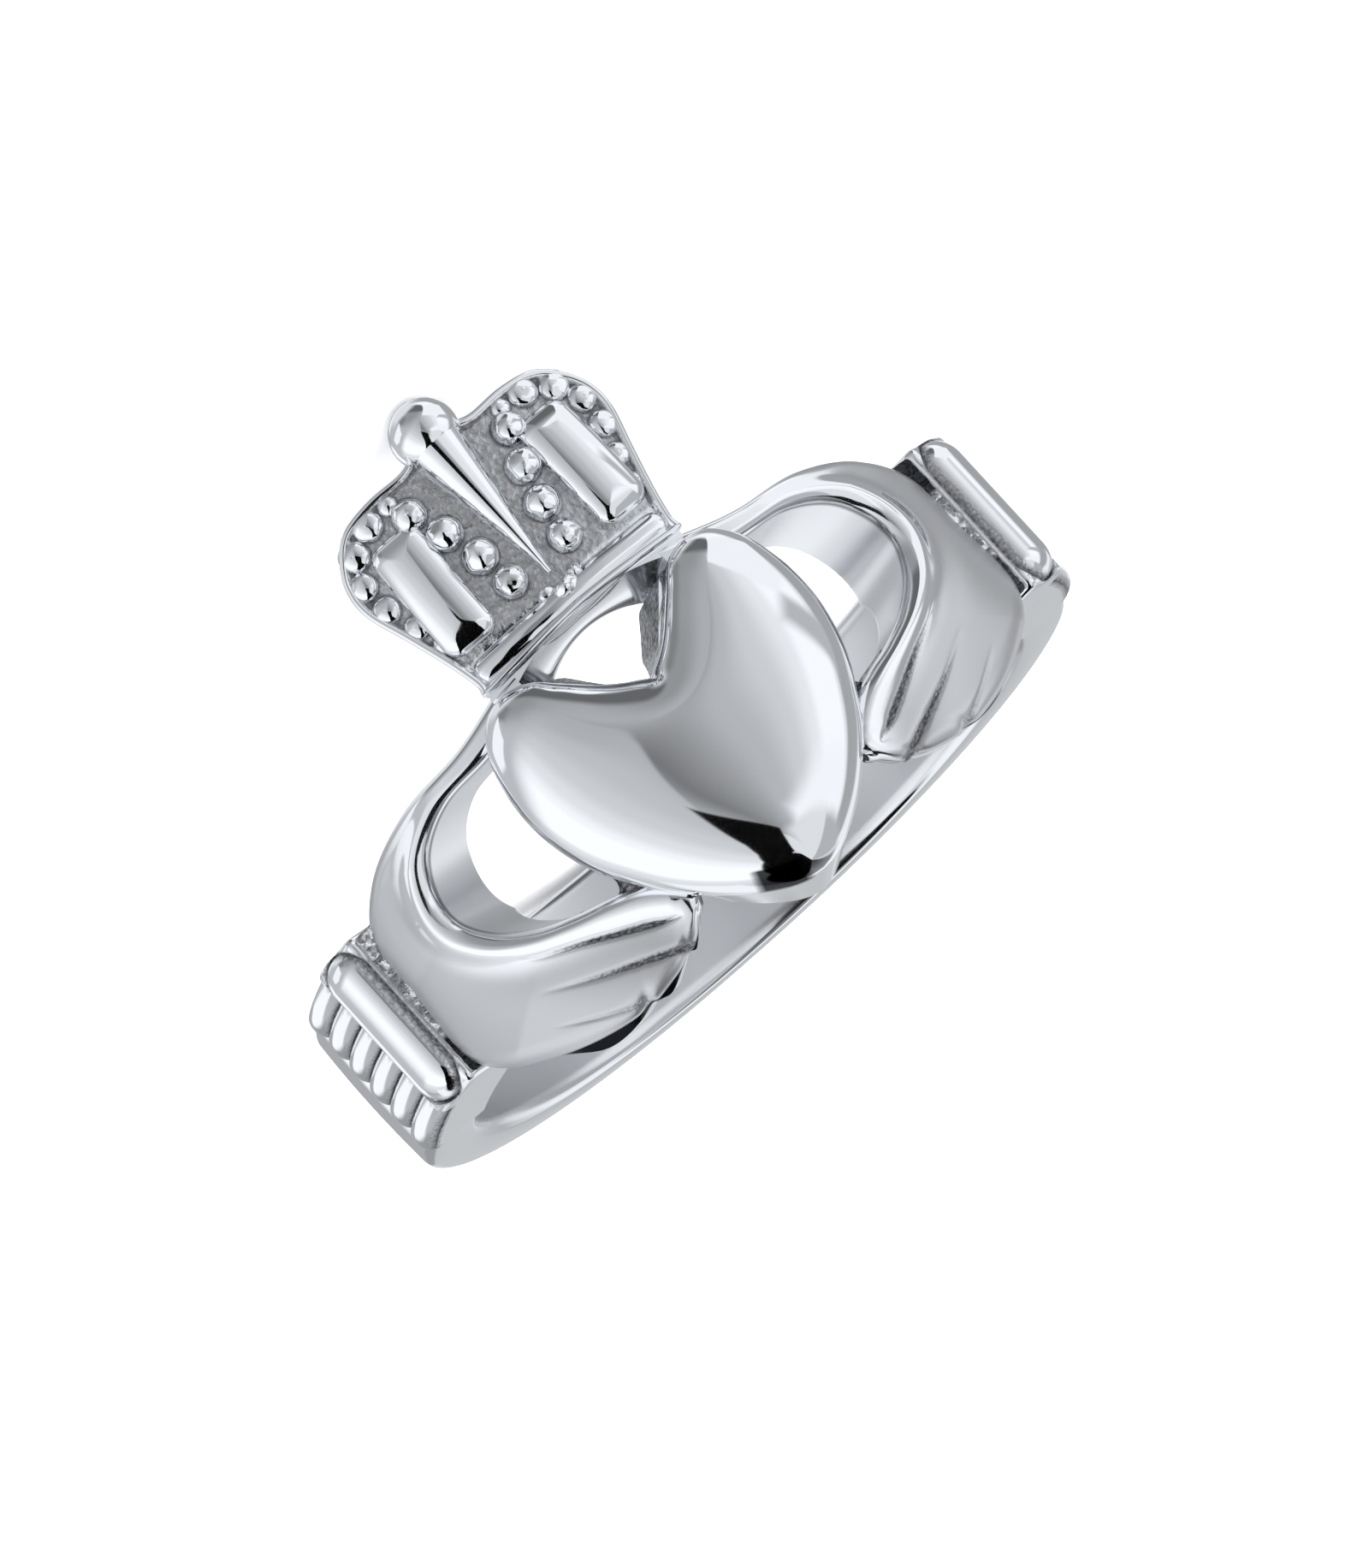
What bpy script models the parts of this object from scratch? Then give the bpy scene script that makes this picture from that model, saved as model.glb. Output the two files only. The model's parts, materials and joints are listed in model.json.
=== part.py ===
"""A claddagh ring: two hands hold a crowned heart, cast in one piece of silver.

Metres, +Z up. The ring is shaped upright in its own ring frame, with the finger's axis along Z,
the crown towards +Z and the head at -Y. It is then laid on its side, crown down, as it rests.
A point of the head is given by s, the arc length round the head's cylinder, and z, its height.
"""

import math

import bmesh
import bpy
import numpy as np
from mathutils import Matrix, Vector

MM = 0.001

# Ring and band
BORE_RADIUS = 8.65
BORE_SIDES = 60
HEAD_RADIUS = 10.70
CORE_RADIUS = 7.90
SHANK_HALF_WIDTH = 2.16
SHANK_START_DEG = 57.0
SHANK_SHOULDER_RADIUS = 10.28
SHANK_BACK_RADIUS = 9.75
SHANK_EDGE_ROUND = 0.28
SHANK_STATIONS = 41

# Cuffs
CUFF_FLOOR_START_DEG = 49.0
CUFF_FLOOR_END_DEG = 56.5
CUFF_FLOOR_RADIUS = 10.56
FRAME_START_DEG = 55.6
FRAME_END_DEG = 61.6
FRAME_RADIUS = 11.24
FRAME_HALF_WIDTH = 2.24
BAR_CENTRE_DEG = 58.5
BAR_HALF_LENGTH = 2.06
BAR_HALF_THICKNESS = 0.42
BAR_RADIUS = 11.46
FLUTE_COUNT = 6
FLUTE_HALF_WIDTH = 2.20
FLUTE_STATIONS = [
    # angle in degrees, root radius, rise of the flute
    (61.0, 10.90, 0.22),
    (67.0, 10.72, 0.24),
    (73.0, 10.54, 0.26),
    (78.0, 10.46, 0.26),
    (80.2, 10.44, 0.20),
    (81.4, 10.40, 0.08),
    (82.0, 10.20, 0.00),
]

# Heart: half outline from the notch round to the tip
HEART_OUTLINE = [
    # s, z
    (0.00, 1.40),
    (0.78, 1.92),
    (1.55, 2.68),
    (2.12, 3.24),
    (2.78, 3.44),
    (3.46, 3.26),
    (4.02, 2.55),
    (4.31, 1.45),
    (4.31, 0.30),
    (4.00, -0.90),
    (3.42, -1.98),
    (2.76, -2.90),
    (1.86, -3.78),
    (0.98, -4.38),
    (0.38, -4.66),
    (0.00, -4.72),
]
HEART_CENTRE_Z = 0.20
HEART_EDGE_RADIUS = 10.92
HEART_RISE = 1.42
HEART_STATIONS = 27

# Hands: one row for each section across the hand, from the crown's foot round to the fingertips
HAND_SECTIONS = [
    # inner s, inner z, outer s, outer z, crest radius, groove depth
    (2.30, 2.85, 2.35, 4.00, 10.42, 0.00),
    (3.35, 2.80, 3.35, 3.66, 10.48, 0.00),
    (4.40, 2.70, 4.70, 3.34, 10.60, 0.00),
    (5.70, 2.62, 6.60, 3.20, 10.74, 0.00),
    (6.80, 2.12, 8.60, 2.66, 10.84, 0.00),
    (7.38, 1.32, 10.00, 1.70, 10.90, 0.00),
    (7.42, 0.50, 10.56, 0.30, 10.92, 0.00),
    (6.98, -0.30, 10.40, -1.10, 10.92, 0.00),
    (6.20, -0.88, 9.55, -2.35, 10.92, 0.06),
    (5.30, -1.28, 8.20, -3.20, 10.90, 0.19),
    (4.40, -1.60, 6.75, -3.78, 10.86, 0.25),
    (3.55, -1.95, 5.35, -4.08, 10.80, 0.27),
    (2.95, -2.40, 4.20, -4.02, 10.72, 0.25),
    (2.35, -2.85, 3.25, -3.72, 10.62, 0.20),
]
HAND_STATIONS_PER_ROW = 3
HAND_INNER_EDGE_RADIUS = 10.42
HAND_OUTER_EDGE_RADIUS = 10.12
FINGERTIP_REACH = 0.16
FINGER_BACK_RADIUS = 9.35

# Crown: half outline from behind the ball round to the foot
CROWN_OUTLINE = [
    # s, z
    (0.00, 9.30),
    (0.62, 9.20),
    (1.12, 9.06),
    (2.08, 9.09),
    (2.98, 8.95),
    (3.55, 8.52),
    (3.95, 7.86),
    (4.00, 7.08),
    (3.66, 5.98),
    (3.34, 4.90),
    (3.16, 4.10),
    (3.14, 3.74),
    (2.20, 3.74),
    (1.10, 3.80),
    (0.00, 3.84),
]
CROWN_CENTRE_Z = 6.30
CROWN_RIM_RADIUS = 10.66
CROWN_GROUND_RADIUS = 10.44
CROWN_BACK_RADIUS = 9.15
CROWN_STATIONS = 23
CROWN_FOOT_DROP = 0.42
BALL_S_Z_RADIUS = (0.0, 9.36, 10.55)
BALL_RADIUS = 0.88
WEDGE_TOP_Z = 9.20
WEDGE_POINT_Z = 4.95
WEDGE_HALF_WIDTH = 0.74
WEDGE_RIDGE_RADIUS = 11.08
PANEL_CENTRE = (2.38, 6.44)
PANEL_HALF_LENGTH = 1.66
PANEL_HALF_WIDTH = 0.60
PANEL_RADIUS = 11.00
PANEL_LEAN_DEG = -2.0
RAIL_ROWS = [
    # z, radius of the roll's axis, roll radius
    (4.02, 10.40, 0.24),
    (4.45, 10.42, 0.21),
]
RAIL_HALF_LENGTH = 3.05
BEAD_ROWS = [
    # s, z, radius of the bead
    (1.58, 8.16, 0.38),
    (1.24, 7.26, 0.39),
    (0.98, 6.31, 0.40),
    (0.82, 5.37, 0.37),
]
SCALLOP_ROWS = [
    # s, z, radius of the half bead
    (2.46, 8.60, 0.33),
    (3.24, 8.33, 0.34),
    (3.64, 7.66, 0.33),
    (3.58, 6.88, 0.32),
    (3.36, 6.02, 0.31),
    (3.12, 5.14, 0.30),
]

SILVER_COLOUR = (0.90, 0.91, 0.93, 1.0)
SILVER_ROUGHNESS = 0.1


def on_ring(s, z, radius):
    """Point of the ring frame at arc length s, height z and the given radius, in metres."""
    theta = np.asarray(s, float) / HEAD_RADIUS
    x = radius * np.sin(theta)
    y = -radius * np.cos(theta)
    return np.stack([x, y, z + 0.0 * x], axis=-1) * MM


def smooth_rows(rows, steps):
    """Catmull-Rom curve through the rows of a table, with so many steps between two rows."""
    table = np.array(rows, float)
    ends = np.vstack([2 * table[0] - table[1], table, 2 * table[-1] - table[-2]])
    t = np.linspace(0.0, 1.0, steps, endpoint=False)[:, None]
    parts = []
    for a, b, c, d in zip(ends, ends[1:], ends[2:], ends[3:]):
        parts.append(0.5 * (2 * b + (c - a) * t + (2 * a - 5 * b + 4 * c - d) * t ** 2
                            + (3 * b - a - 3 * c + d) * t ** 3))
    return np.vstack(parts + [table[-1:]])


def even_rows(rows, count):
    """The same curve with its points spaced evenly along its length."""
    curve = smooth_rows(rows, 16)
    length = np.concatenate([[0.0], np.cumsum(np.linalg.norm(np.diff(curve, axis=0), axis=1))])
    wanted = np.linspace(0.0, length[-1], count)
    return np.stack([np.interp(wanted, length, curve[:, k]) for k in range(curve.shape[1])], axis=-1)


def whole_outline(rows, count):
    """Closed outline from a half outline and its mirror image."""
    half = even_rows(rows, count)
    other = half[-2:0:-1] * [-1, 1]
    return np.vstack([half, other])


def solid(name, verts, faces):
    """Closed triangle mesh object with its faces pointing out."""
    bm = bmesh.new()
    made = [bm.verts.new(v) for v in verts]
    for face in faces:
        bm.faces.new([made[i] for i in face])
    bmesh.ops.recalc_face_normals(bm, faces=bm.faces)
    bmesh.ops.triangulate(bm, faces=bm.faces)
    mesh = bpy.data.meshes.new(name)
    bm.to_mesh(mesh)
    bm.free()
    obj = bpy.data.objects.new(name, mesh)
    bpy.context.scene.collection.objects.link(obj)
    return obj


def loft(name, sections, first=None, last=None):
    """Solid through closed sections of equal size, each end closed by a flat cap or a point."""
    sections = np.asarray(sections)
    rows, count = sections.shape[:2]
    verts = [tuple(v) for v in sections.reshape(-1, 3)]
    faces = []
    for i in range(rows - 1):
        for j in range(count):
            k = (j + 1) % count
            faces.append((i * count + j, i * count + k, (i + 1) * count + k, (i + 1) * count + j))
    for row, point in ((0, first), (rows - 1, last)):
        ring = [row * count + j for j in range(count)]
        if point is None:
            faces.append(ring)
            continue
        verts.append(tuple(point))
        for j in range(count):
            faces.append((ring[j], ring[(j + 1) % count], len(verts) - 1))
    return solid(name, verts, faces)


def sweep_round(name, degrees, profiles):
    """Solid swept round the ring through a profile (radius, z) at each angle."""
    sections = []
    for angle, profile in zip(degrees, profiles):
        profile = np.asarray(profile)
        theta = math.radians(angle)
        x = profile[:, 0] * math.sin(theta)
        y = -profile[:, 0] * math.cos(theta)
        sections.append(np.stack([x, y, profile[:, 1]], axis=-1) * MM)
    return loft(name, sections)


def shank_profile(radius, half_width):
    """Band section with a gently domed outside and rounded edges."""
    e = SHANK_EDGE_ROUND
    w = half_width
    return [
        (CORE_RADIUS, -w), (radius - e, -w), (radius - 0.3 * e, -w + 0.3 * e), (radius - 0.02, -w + e),
        (radius + 0.05, -0.5 * w), (radius + 0.06, 0.5 * w), (radius - 0.02, w - e),
        (radius - 0.3 * e, w - 0.3 * e), (radius - e, w), (CORE_RADIUS, w),
    ]


def make_shank():
    """Plain band from one cuff round the back to the other."""
    degrees = np.linspace(SHANK_START_DEG, 360 - SHANK_START_DEG, SHANK_STATIONS + 1)
    away = np.clip((180 - np.abs(degrees - 180) - 95) / 85, 0, 1)
    radius = SHANK_SHOULDER_RADIUS + (SHANK_BACK_RADIUS - SHANK_SHOULDER_RADIUS) * away
    return sweep_round("shank", degrees, [shank_profile(r, SHANK_HALF_WIDTH) for r in radius])


def box_profile(radius, half_width, round_off):
    """Plain rectangular section with small rounded outer corners."""
    return [
        (CORE_RADIUS, -half_width), (radius - round_off, -half_width), (radius, -half_width + round_off),
        (radius, half_width - round_off), (radius - round_off, half_width), (CORE_RADIUS, half_width),
    ]


def flute_profile(root, rise):
    """Section across the flutes: half-round ribs side by side across the band."""
    w = FLUTE_HALF_WIDTH
    pitch = 2 * w / FLUTE_COUNT
    points = [(CORE_RADIUS, -w)]
    for k in range(FLUTE_COUNT):
        for a in (0.0, 0.16, 0.5, 0.84):
            height = rise * math.sin(math.pi * a) ** 0.6 if a else 0.0
            points.append((root + height, -w + pitch * (k + a)))
    points.append((root, w))
    points.append((CORE_RADIUS, w))
    return points


def make_cuffs(side):
    """Floor beside the hand, framed cross bar and fluted shoulder of one cuff."""
    floor = np.linspace(CUFF_FLOOR_START_DEG, CUFF_FLOOR_END_DEG, 3)
    frame = np.linspace(FRAME_START_DEG, FRAME_END_DEG, 3)
    flute = np.array([row[0] for row in FLUTE_STATIONS])
    w = SHANK_HALF_WIDTH
    made = [
        sweep_round("cuff_floor", side * floor, [box_profile(CUFF_FLOOR_RADIUS, w - 0.03, 0.1)] * 3),
        sweep_round("cuff_frame", side * frame, [box_profile(FRAME_RADIUS, FRAME_HALF_WIDTH, 0.2)] * 3),
        sweep_round("cuff_flutes", side * flute,
                    [flute_profile(root, rise + 0.02) for _, root, rise in FLUTE_STATIONS]),
    ]
    made.append(make_bar(side))
    return made


def make_bar(side):
    """Raised round bar across the cuff, with rounded ends."""
    theta = math.radians(side * BAR_CENTRE_DEG)
    out = np.array([math.sin(theta), -math.cos(theta), 0.0])
    along = np.array([math.cos(theta), math.sin(theta), 0.0])
    up = np.array([0.0, 0.0, 1.0])
    half = BAR_HALF_THICKNESS
    straight = BAR_HALF_LENGTH - half
    sections = []
    for lift, scale in ((-0.9, 1.0), (0.10, 1.0), (0.30, 0.9), (0.43, 0.62)):
        loop = []
        for end in (1, -1):
            for a in np.linspace(0, math.pi, 7):
                across = end * half * scale * math.cos(a)
                height = end * (straight + half * scale * math.sin(a))
                loop.append(along * across + up * height)
        sections.append(np.array(loop) + out * (BAR_RADIUS - 0.43 + lift))
    top = out * (BAR_RADIUS + 0.03)
    ridge = [top + up * straight * 0.98, top - up * straight * 0.98]
    sections.append([ridge[0]] * 7 + [ridge[1]] * 7)
    return bar_from_sections("cuff_bar", np.array(sections) * MM)


def bar_from_sections(name, sections):
    """Loft that ends in a ridge line: the last section's points fall in two places."""
    obj = loft(name, sections[:-1])
    bm = bmesh.new()
    bm.from_mesh(obj.data)
    bm.verts.ensure_lookup_table()
    count = sections.shape[1]
    start = (len(sections) - 2) * count
    top = [bm.verts[start + j] for j in range(count)]
    caps = [f for f in bm.faces if all(v in top for v in f.verts)]
    bmesh.ops.delete(bm, geom=caps, context="FACES")
    first = bm.verts.new(sections[-1][0])
    second = bm.verts.new(sections[-1][-1])
    half = count // 2
    for j in range(count):
        a, b = top[j], top[(j + 1) % count]
        mine = first if j < half - 1 or j == half - 1 else second
        if j in (half - 1, count - 1):
            near = first if j == half - 1 else second
            far = second if j == half - 1 else first
            bm.faces.new([a, b, far, near])
        else:
            bm.faces.new([a, b, mine])
    bmesh.ops.recalc_face_normals(bm, faces=bm.faces)
    bmesh.ops.triangulate(bm, faces=bm.faces)
    bm.to_mesh(obj.data)
    bm.free()
    return obj


def make_heart():
    """Domed heart with a crease running down from its notch."""
    outline = whole_outline(HEART_OUTLINE, HEART_STATIONS)
    centre = np.array([0.0, HEART_CENTRE_Z])
    calm = outline_ellipse(outline, centre)
    sections = [on_ring(outline[:, 0], outline[:, 1], CORE_RADIUS),
                on_ring(outline[:, 0], outline[:, 1], HEART_EDGE_RADIUS)]
    for t in (0.97, 0.91, 0.82, 0.69, 0.53, 0.34, 0.15):
        blend = 0.55 * (1 - t) ** 1.5
        loop = centre + t * ((1 - blend) * (outline - centre) + blend * (calm - centre))
        height = HEART_RISE * (1 - t ** 2.3) ** 0.62
        sections.append(on_ring(loop[:, 0], loop[:, 1], HEART_EDGE_RADIUS + height))
    core = on_ring(0.0, HEART_CENTRE_Z, CORE_RADIUS)
    peak = on_ring(0.0, HEART_CENTRE_Z, HEART_EDGE_RADIUS + HEART_RISE)
    return loft("heart", sections, core, peak)


def outline_ellipse(outline, centre):
    """Ellipse round the centre with a point in the direction of each outline point."""
    away = outline - centre
    angle = np.arctan2(away[:, 1], away[:, 0])
    return centre + np.stack([3.4 * np.cos(angle), 3.1 * np.sin(angle)], axis=-1)


def make_hand(side):
    """One hand: a rolled edge round the opening, a smooth back and four fingers."""
    table = smooth_rows(HAND_SECTIONS, HAND_STATIONS_PER_ROW)
    across = np.array([0.0, 0.06, 0.17, 0.29, 0.42, 0.55, 0.67, 0.79, 0.90, 0.97, 1.0])
    grooves = np.array([0, 0, 0, 1, 0, 1, 0, 1, 0, 0, 0])
    tips = np.array([0, 0.2, 1, 0.1, 1, 0.1, 1, 0.1, 0.6, 0.1, 0])
    dome = np.array([0.0, 0.62, 0.93, 1.0, 1.0, 1.0, 1.0, 0.97, 0.86, 0.5, 0.0])
    edge = HAND_INNER_EDGE_RADIUS + (HAND_OUTER_EDGE_RADIUS - HAND_INNER_EDGE_RADIUS) * across
    sections = []
    for i, (s0, z0, s1, z1, crest, groove) in enumerate(table):
        s = s0 + (s1 - s0) * across
        z = z0 + (z1 - z0) * across
        if i == len(table) - 1:
            s = s - FINGERTIP_REACH * tips
            z = z - 0.3 * FINGERTIP_REACH * tips
        low = np.minimum(edge, crest - 0.05)
        radius = low + (crest - low) * dome - groove * grooves
        top = on_ring(side * s, z, radius)
        thin = min(max((i - 27) / 9, 0.0), 1.0)
        back = CORE_RADIUS + (FINGER_BACK_RADIUS - CORE_RADIUS) * thin ** 0.5
        bottom = on_ring(side * np.array([s1, s0]), np.array([z1, z0]), back)
        sections.append(np.vstack([top, bottom]))
    return loft("hand", sections)


def make_crown_plate():
    """Crown plate: raised rim, sunk ground and a foot that slopes in above the opening."""
    outline = whole_outline(CROWN_OUTLINE, CROWN_STATIONS)
    centre = np.array([0.0, CROWN_CENTRE_Z])
    foot = np.clip((4.3 - outline[:, 1]) / 0.5, 0, 1)
    inner = outline - np.stack([0 * foot, CROWN_FOOT_DROP * foot], axis=-1)
    back = CROWN_BACK_RADIUS + (CORE_RADIUS - CROWN_BACK_RADIUS) * foot
    hollow = centre + 0.86 * (outline - centre)
    sections = [on_ring(hollow[:, 0], hollow[:, 1], CROWN_BACK_RADIUS),
                on_ring(inner[:, 0], inner[:, 1], back)]
    for t, radius in ((1.0, CROWN_RIM_RADIUS - 0.10), (0.985, CROWN_RIM_RADIUS),
                      (0.945, CROWN_RIM_RADIUS), (0.925, CROWN_GROUND_RADIUS), (0.5, CROWN_GROUND_RADIUS)):
        loop = centre + t * (outline - centre)
        sections.append(on_ring(loop[:, 0], loop[:, 1], radius))
    middle = on_ring(0.0, CROWN_CENTRE_Z, CROWN_GROUND_RADIUS)
    behind = on_ring(0.0, CROWN_CENTRE_Z, CROWN_BACK_RADIUS)
    return loft("crown_plate", sections, behind, middle)


def make_panel(side):
    """Raised cushion with rounded corners on one side of the crown."""
    angle = np.linspace(0, 2 * math.pi, 24, endpoint=False)
    power = 0.42
    c = np.sign(np.cos(angle)) * np.abs(np.cos(angle)) ** power
    d = np.sign(np.sin(angle)) * np.abs(np.sin(angle)) ** power
    lean = math.radians(PANEL_LEAN_DEG)
    sections = []
    for scale, drop, radius in ((1.0, 0.0, CROWN_BACK_RADIUS + 0.4), (1.0, 0.0, PANEL_RADIUS - 0.26),
                                (0.90, 0.06, PANEL_RADIUS - 0.09), (0.66, 0.18, PANEL_RADIUS)):
        u = (PANEL_HALF_WIDTH * scale) * c
        v = (PANEL_HALF_LENGTH - drop) * d
        s = PANEL_CENTRE[0] + u * math.cos(lean) + v * math.sin(lean)
        z = PANEL_CENTRE[1] - u * math.sin(lean) + v * math.cos(lean)
        sections.append(on_ring(side * s, z, radius))
    return loft("crown_panel", sections)


def make_wedge():
    """Keeled wedge that narrows from the ball to a point at the crown's foot."""
    sections = []
    for t in (0.0, 0.35, 0.7, 1.0):
        z = WEDGE_TOP_Z + (WEDGE_POINT_Z - WEDGE_TOP_Z) * t
        half = WEDGE_HALF_WIDTH * (1 - t) + 0.07 * t
        ridge = WEDGE_RIDGE_RADIUS + (CROWN_GROUND_RADIUS + 0.14 - WEDGE_RIDGE_RADIUS) * t ** 1.3
        s = np.array([-half, -half, 0.0, half, half])
        radius = np.array([9.6, CROWN_GROUND_RADIUS + 0.1 * (1 - t) + 0.05, ridge,
                           CROWN_GROUND_RADIUS + 0.1 * (1 - t) + 0.05, 9.6])
        sections.append(on_ring(s, z, radius))
    return loft("crown_wedge", sections)


def make_rail(row):
    """One polished roll along the crown's foot."""
    height, axis_radius, roll = row
    angle = np.linspace(0, 2 * math.pi, 8, endpoint=False) + 0.2
    sections = []
    for s in np.linspace(-RAIL_HALF_LENGTH, RAIL_HALF_LENGTH, 15):
        z = height + roll * np.cos(angle)
        sections.append(on_ring(s, z, axis_radius + roll * np.sin(angle)))
    return loft("crown_rail", sections)


def make_round(name, s, z, axis_radius, radius, detail):
    """Bead or ball seated on the crown."""
    bm = bmesh.new()
    bmesh.ops.create_icosphere(bm, subdivisions=detail, radius=radius * MM)
    mesh = bpy.data.meshes.new(name)
    bm.to_mesh(mesh)
    bm.free()
    obj = bpy.data.objects.new(name, mesh)
    bpy.context.scene.collection.objects.link(obj)
    place = Matrix.Translation(Vector(on_ring(s, z, axis_radius)))
    mesh.transform(place @ Matrix.Rotation(s / HEAD_RADIUS, 4, "Z"))
    return obj


def make_bore_cutter():
    """Finger hole, with one flat facet centred on the palm side."""
    angle = (np.arange(BORE_SIDES) + 0.5) * 2 * math.pi / BORE_SIDES
    radius = BORE_RADIUS / math.cos(math.pi / BORE_SIDES)
    loop = np.stack([radius * np.sin(angle), radius * np.cos(angle)], axis=-1)
    sections = [np.column_stack([loop, np.full(BORE_SIDES, z)]) * MM for z in (-9.0, 14.0)]
    return loft("bore_cutter", sections)


def all_pieces():
    """Every shape of the casting, each overlapping its neighbours."""
    pieces = [make_shank(), make_heart(), make_crown_plate(), make_wedge()]
    for side in (1, -1):
        pieces += make_cuffs(side)
        pieces.append(make_hand(side))
        pieces.append(make_panel(side))
        for s, z, radius in BEAD_ROWS:
            pieces.append(make_round("bead", side * s, z, CROWN_GROUND_RADIUS + 0.02, radius, 2))
        for s, z, radius in SCALLOP_ROWS:
            pieces.append(make_round("scallop", side * s, z, CROWN_GROUND_RADIUS + 0.02, radius, 2))
    pieces += [make_rail(row) for row in RAIL_ROWS]
    s, z, axis_radius = BALL_S_Z_RADIUS
    pieces.append(make_round("ball", s, z, axis_radius, BALL_RADIUS, 3))
    return pieces


def fuse(pieces, cutter):
    """One body: the exact union of the pieces, less the finger hole."""
    base = pieces[0]
    group = bpy.data.collections.new("casting")
    for piece in pieces[1:]:
        group.objects.link(piece)
    join = base.modifiers.new("join", "BOOLEAN")
    join.operation = "UNION"
    join.operand_type = "COLLECTION"
    join.collection = group
    join.solver = "EXACT"
    cut = base.modifiers.new("bore", "BOOLEAN")
    cut.operation = "DIFFERENCE"
    cut.object = cutter
    cut.solver = "EXACT"
    graph = bpy.context.evaluated_depsgraph_get()
    mesh = bpy.data.meshes.new_from_object(base.evaluated_get(graph))
    for piece in pieces + [cutter]:
        bpy.data.objects.remove(piece, do_unlink=True)
    bpy.data.collections.remove(group)
    return mesh


def tidy(mesh):
    """Merge points closer than two microns and split the faces into triangles."""
    bm = bmesh.new()
    bm.from_mesh(mesh)
    bmesh.ops.triangulate(bm, faces=bm.faces)
    bmesh.ops.remove_doubles(bm, verts=bm.verts, dist=0.000002)
    bmesh.ops.dissolve_degenerate(bm, edges=bm.edges, dist=0.000002)
    bmesh.ops.triangulate(bm, faces=bm.faces)
    bm.to_mesh(mesh)
    bm.free()


def rest_tilt(points):
    """Angle at which the crown's ball and the back of the band touch the same plane."""
    front = points[points[:, 1] < 0]
    back = points[points[:, 1] > 0]
    low, high = 0.0, math.radians(45)
    for _ in range(60):
        tilt = 0.5 * (low + high)
        down = np.array([0.0, math.sin(tilt), math.cos(tilt)])
        if (front @ down).max() > (back @ down).max():
            low = tilt
        else:
            high = tilt
    return 0.5 * (low + high)


def lay_down(mesh):
    """Turn the ring onto its side, crown down, and stand it on z = 0 about its middle."""
    points = np.empty(3 * len(mesh.vertices))
    mesh.vertices.foreach_get("co", points)
    points = points.reshape(-1, 3)
    tilt = rest_tilt(points)
    c, s = math.cos(tilt), math.sin(tilt)
    turn = np.array([[-1, 0, 0], [0, c, -s], [0, -s, -c]])
    points = points @ turn.T
    low, high = points.min(axis=0), points.max(axis=0)
    shift = -np.array([(low[0] + high[0]) / 2, (low[1] + high[1]) / 2, low[2]])
    points = points + shift
    mesh.vertices.foreach_set("co", points.ravel())
    mesh.update()
    return math.degrees(tilt), shift


def silver():
    """Polished silver."""
    material = bpy.data.materials.new("silver")
    material.use_nodes = True
    shader = material.node_tree.nodes["Principled BSDF"]
    shader.inputs["Base Color"].default_value = SILVER_COLOUR
    shader.inputs["Metallic"].default_value = 1.0
    shader.inputs["Roughness"].default_value = SILVER_ROUGHNESS
    return material


def main():
    for obj in list(bpy.data.objects):
        bpy.data.objects.remove(obj, do_unlink=True)
    mesh = fuse(all_pieces(), make_bore_cutter())
    tidy(mesh)
    tilt, shift = lay_down(mesh)
    mesh.materials.clear()
    mesh.materials.append(silver())
    ring = bpy.data.objects.new("claddagh_ring", mesh)
    bpy.context.scene.collection.objects.link(ring)
    mesh.shade_smooth()
    mesh.set_sharp_from_angle(angle=math.radians(35))
    print("rest tilt %.3f deg, shift %.4f %.4f %.4f mm" % ((tilt,) + tuple(shift / MM)))
    print("triangles", sum(len(p.vertices) - 2 for p in mesh.polygons))


main()
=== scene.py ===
# %% [markdown]
# # A silver claddagh ring
# The ring is one casting: two hands hold a crowned heart, and a plain band joins their cuffs
# behind the finger. Polished metal shows nothing but reflections, so every surface here is
# a smooth formula on a fine grid, and the studio round it is built as carefully as the ring.

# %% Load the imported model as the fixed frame
import json
import math

import bpy
import numpy as np
from mathutils import Matrix

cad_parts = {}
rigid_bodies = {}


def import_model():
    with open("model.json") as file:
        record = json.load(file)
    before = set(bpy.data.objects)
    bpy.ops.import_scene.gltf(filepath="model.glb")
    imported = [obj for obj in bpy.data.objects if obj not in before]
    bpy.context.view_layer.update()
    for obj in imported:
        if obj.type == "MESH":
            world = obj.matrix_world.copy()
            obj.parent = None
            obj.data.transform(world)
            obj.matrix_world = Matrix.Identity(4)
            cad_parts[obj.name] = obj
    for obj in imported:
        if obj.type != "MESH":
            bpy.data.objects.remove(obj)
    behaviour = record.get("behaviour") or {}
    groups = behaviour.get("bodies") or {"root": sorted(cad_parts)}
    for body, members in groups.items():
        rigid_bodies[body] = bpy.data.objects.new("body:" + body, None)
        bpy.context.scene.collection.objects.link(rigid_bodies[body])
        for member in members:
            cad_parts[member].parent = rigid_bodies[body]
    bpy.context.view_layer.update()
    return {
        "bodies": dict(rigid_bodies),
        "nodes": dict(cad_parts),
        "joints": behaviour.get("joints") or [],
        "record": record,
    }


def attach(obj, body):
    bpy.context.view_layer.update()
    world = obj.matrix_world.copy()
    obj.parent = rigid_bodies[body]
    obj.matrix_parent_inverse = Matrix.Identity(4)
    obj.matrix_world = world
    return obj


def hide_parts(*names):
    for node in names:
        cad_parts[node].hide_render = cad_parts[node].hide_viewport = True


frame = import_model()

# %% [markdown]
# ## Two frames
# The head of the ring is a relief on a cylinder. A point of it is easiest to name by s, the
# arc length round the head, z, the height along the finger, and its radius. That upright ring
# frame is then laid on its side, crown down, as the real ring rests on a table.

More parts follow.
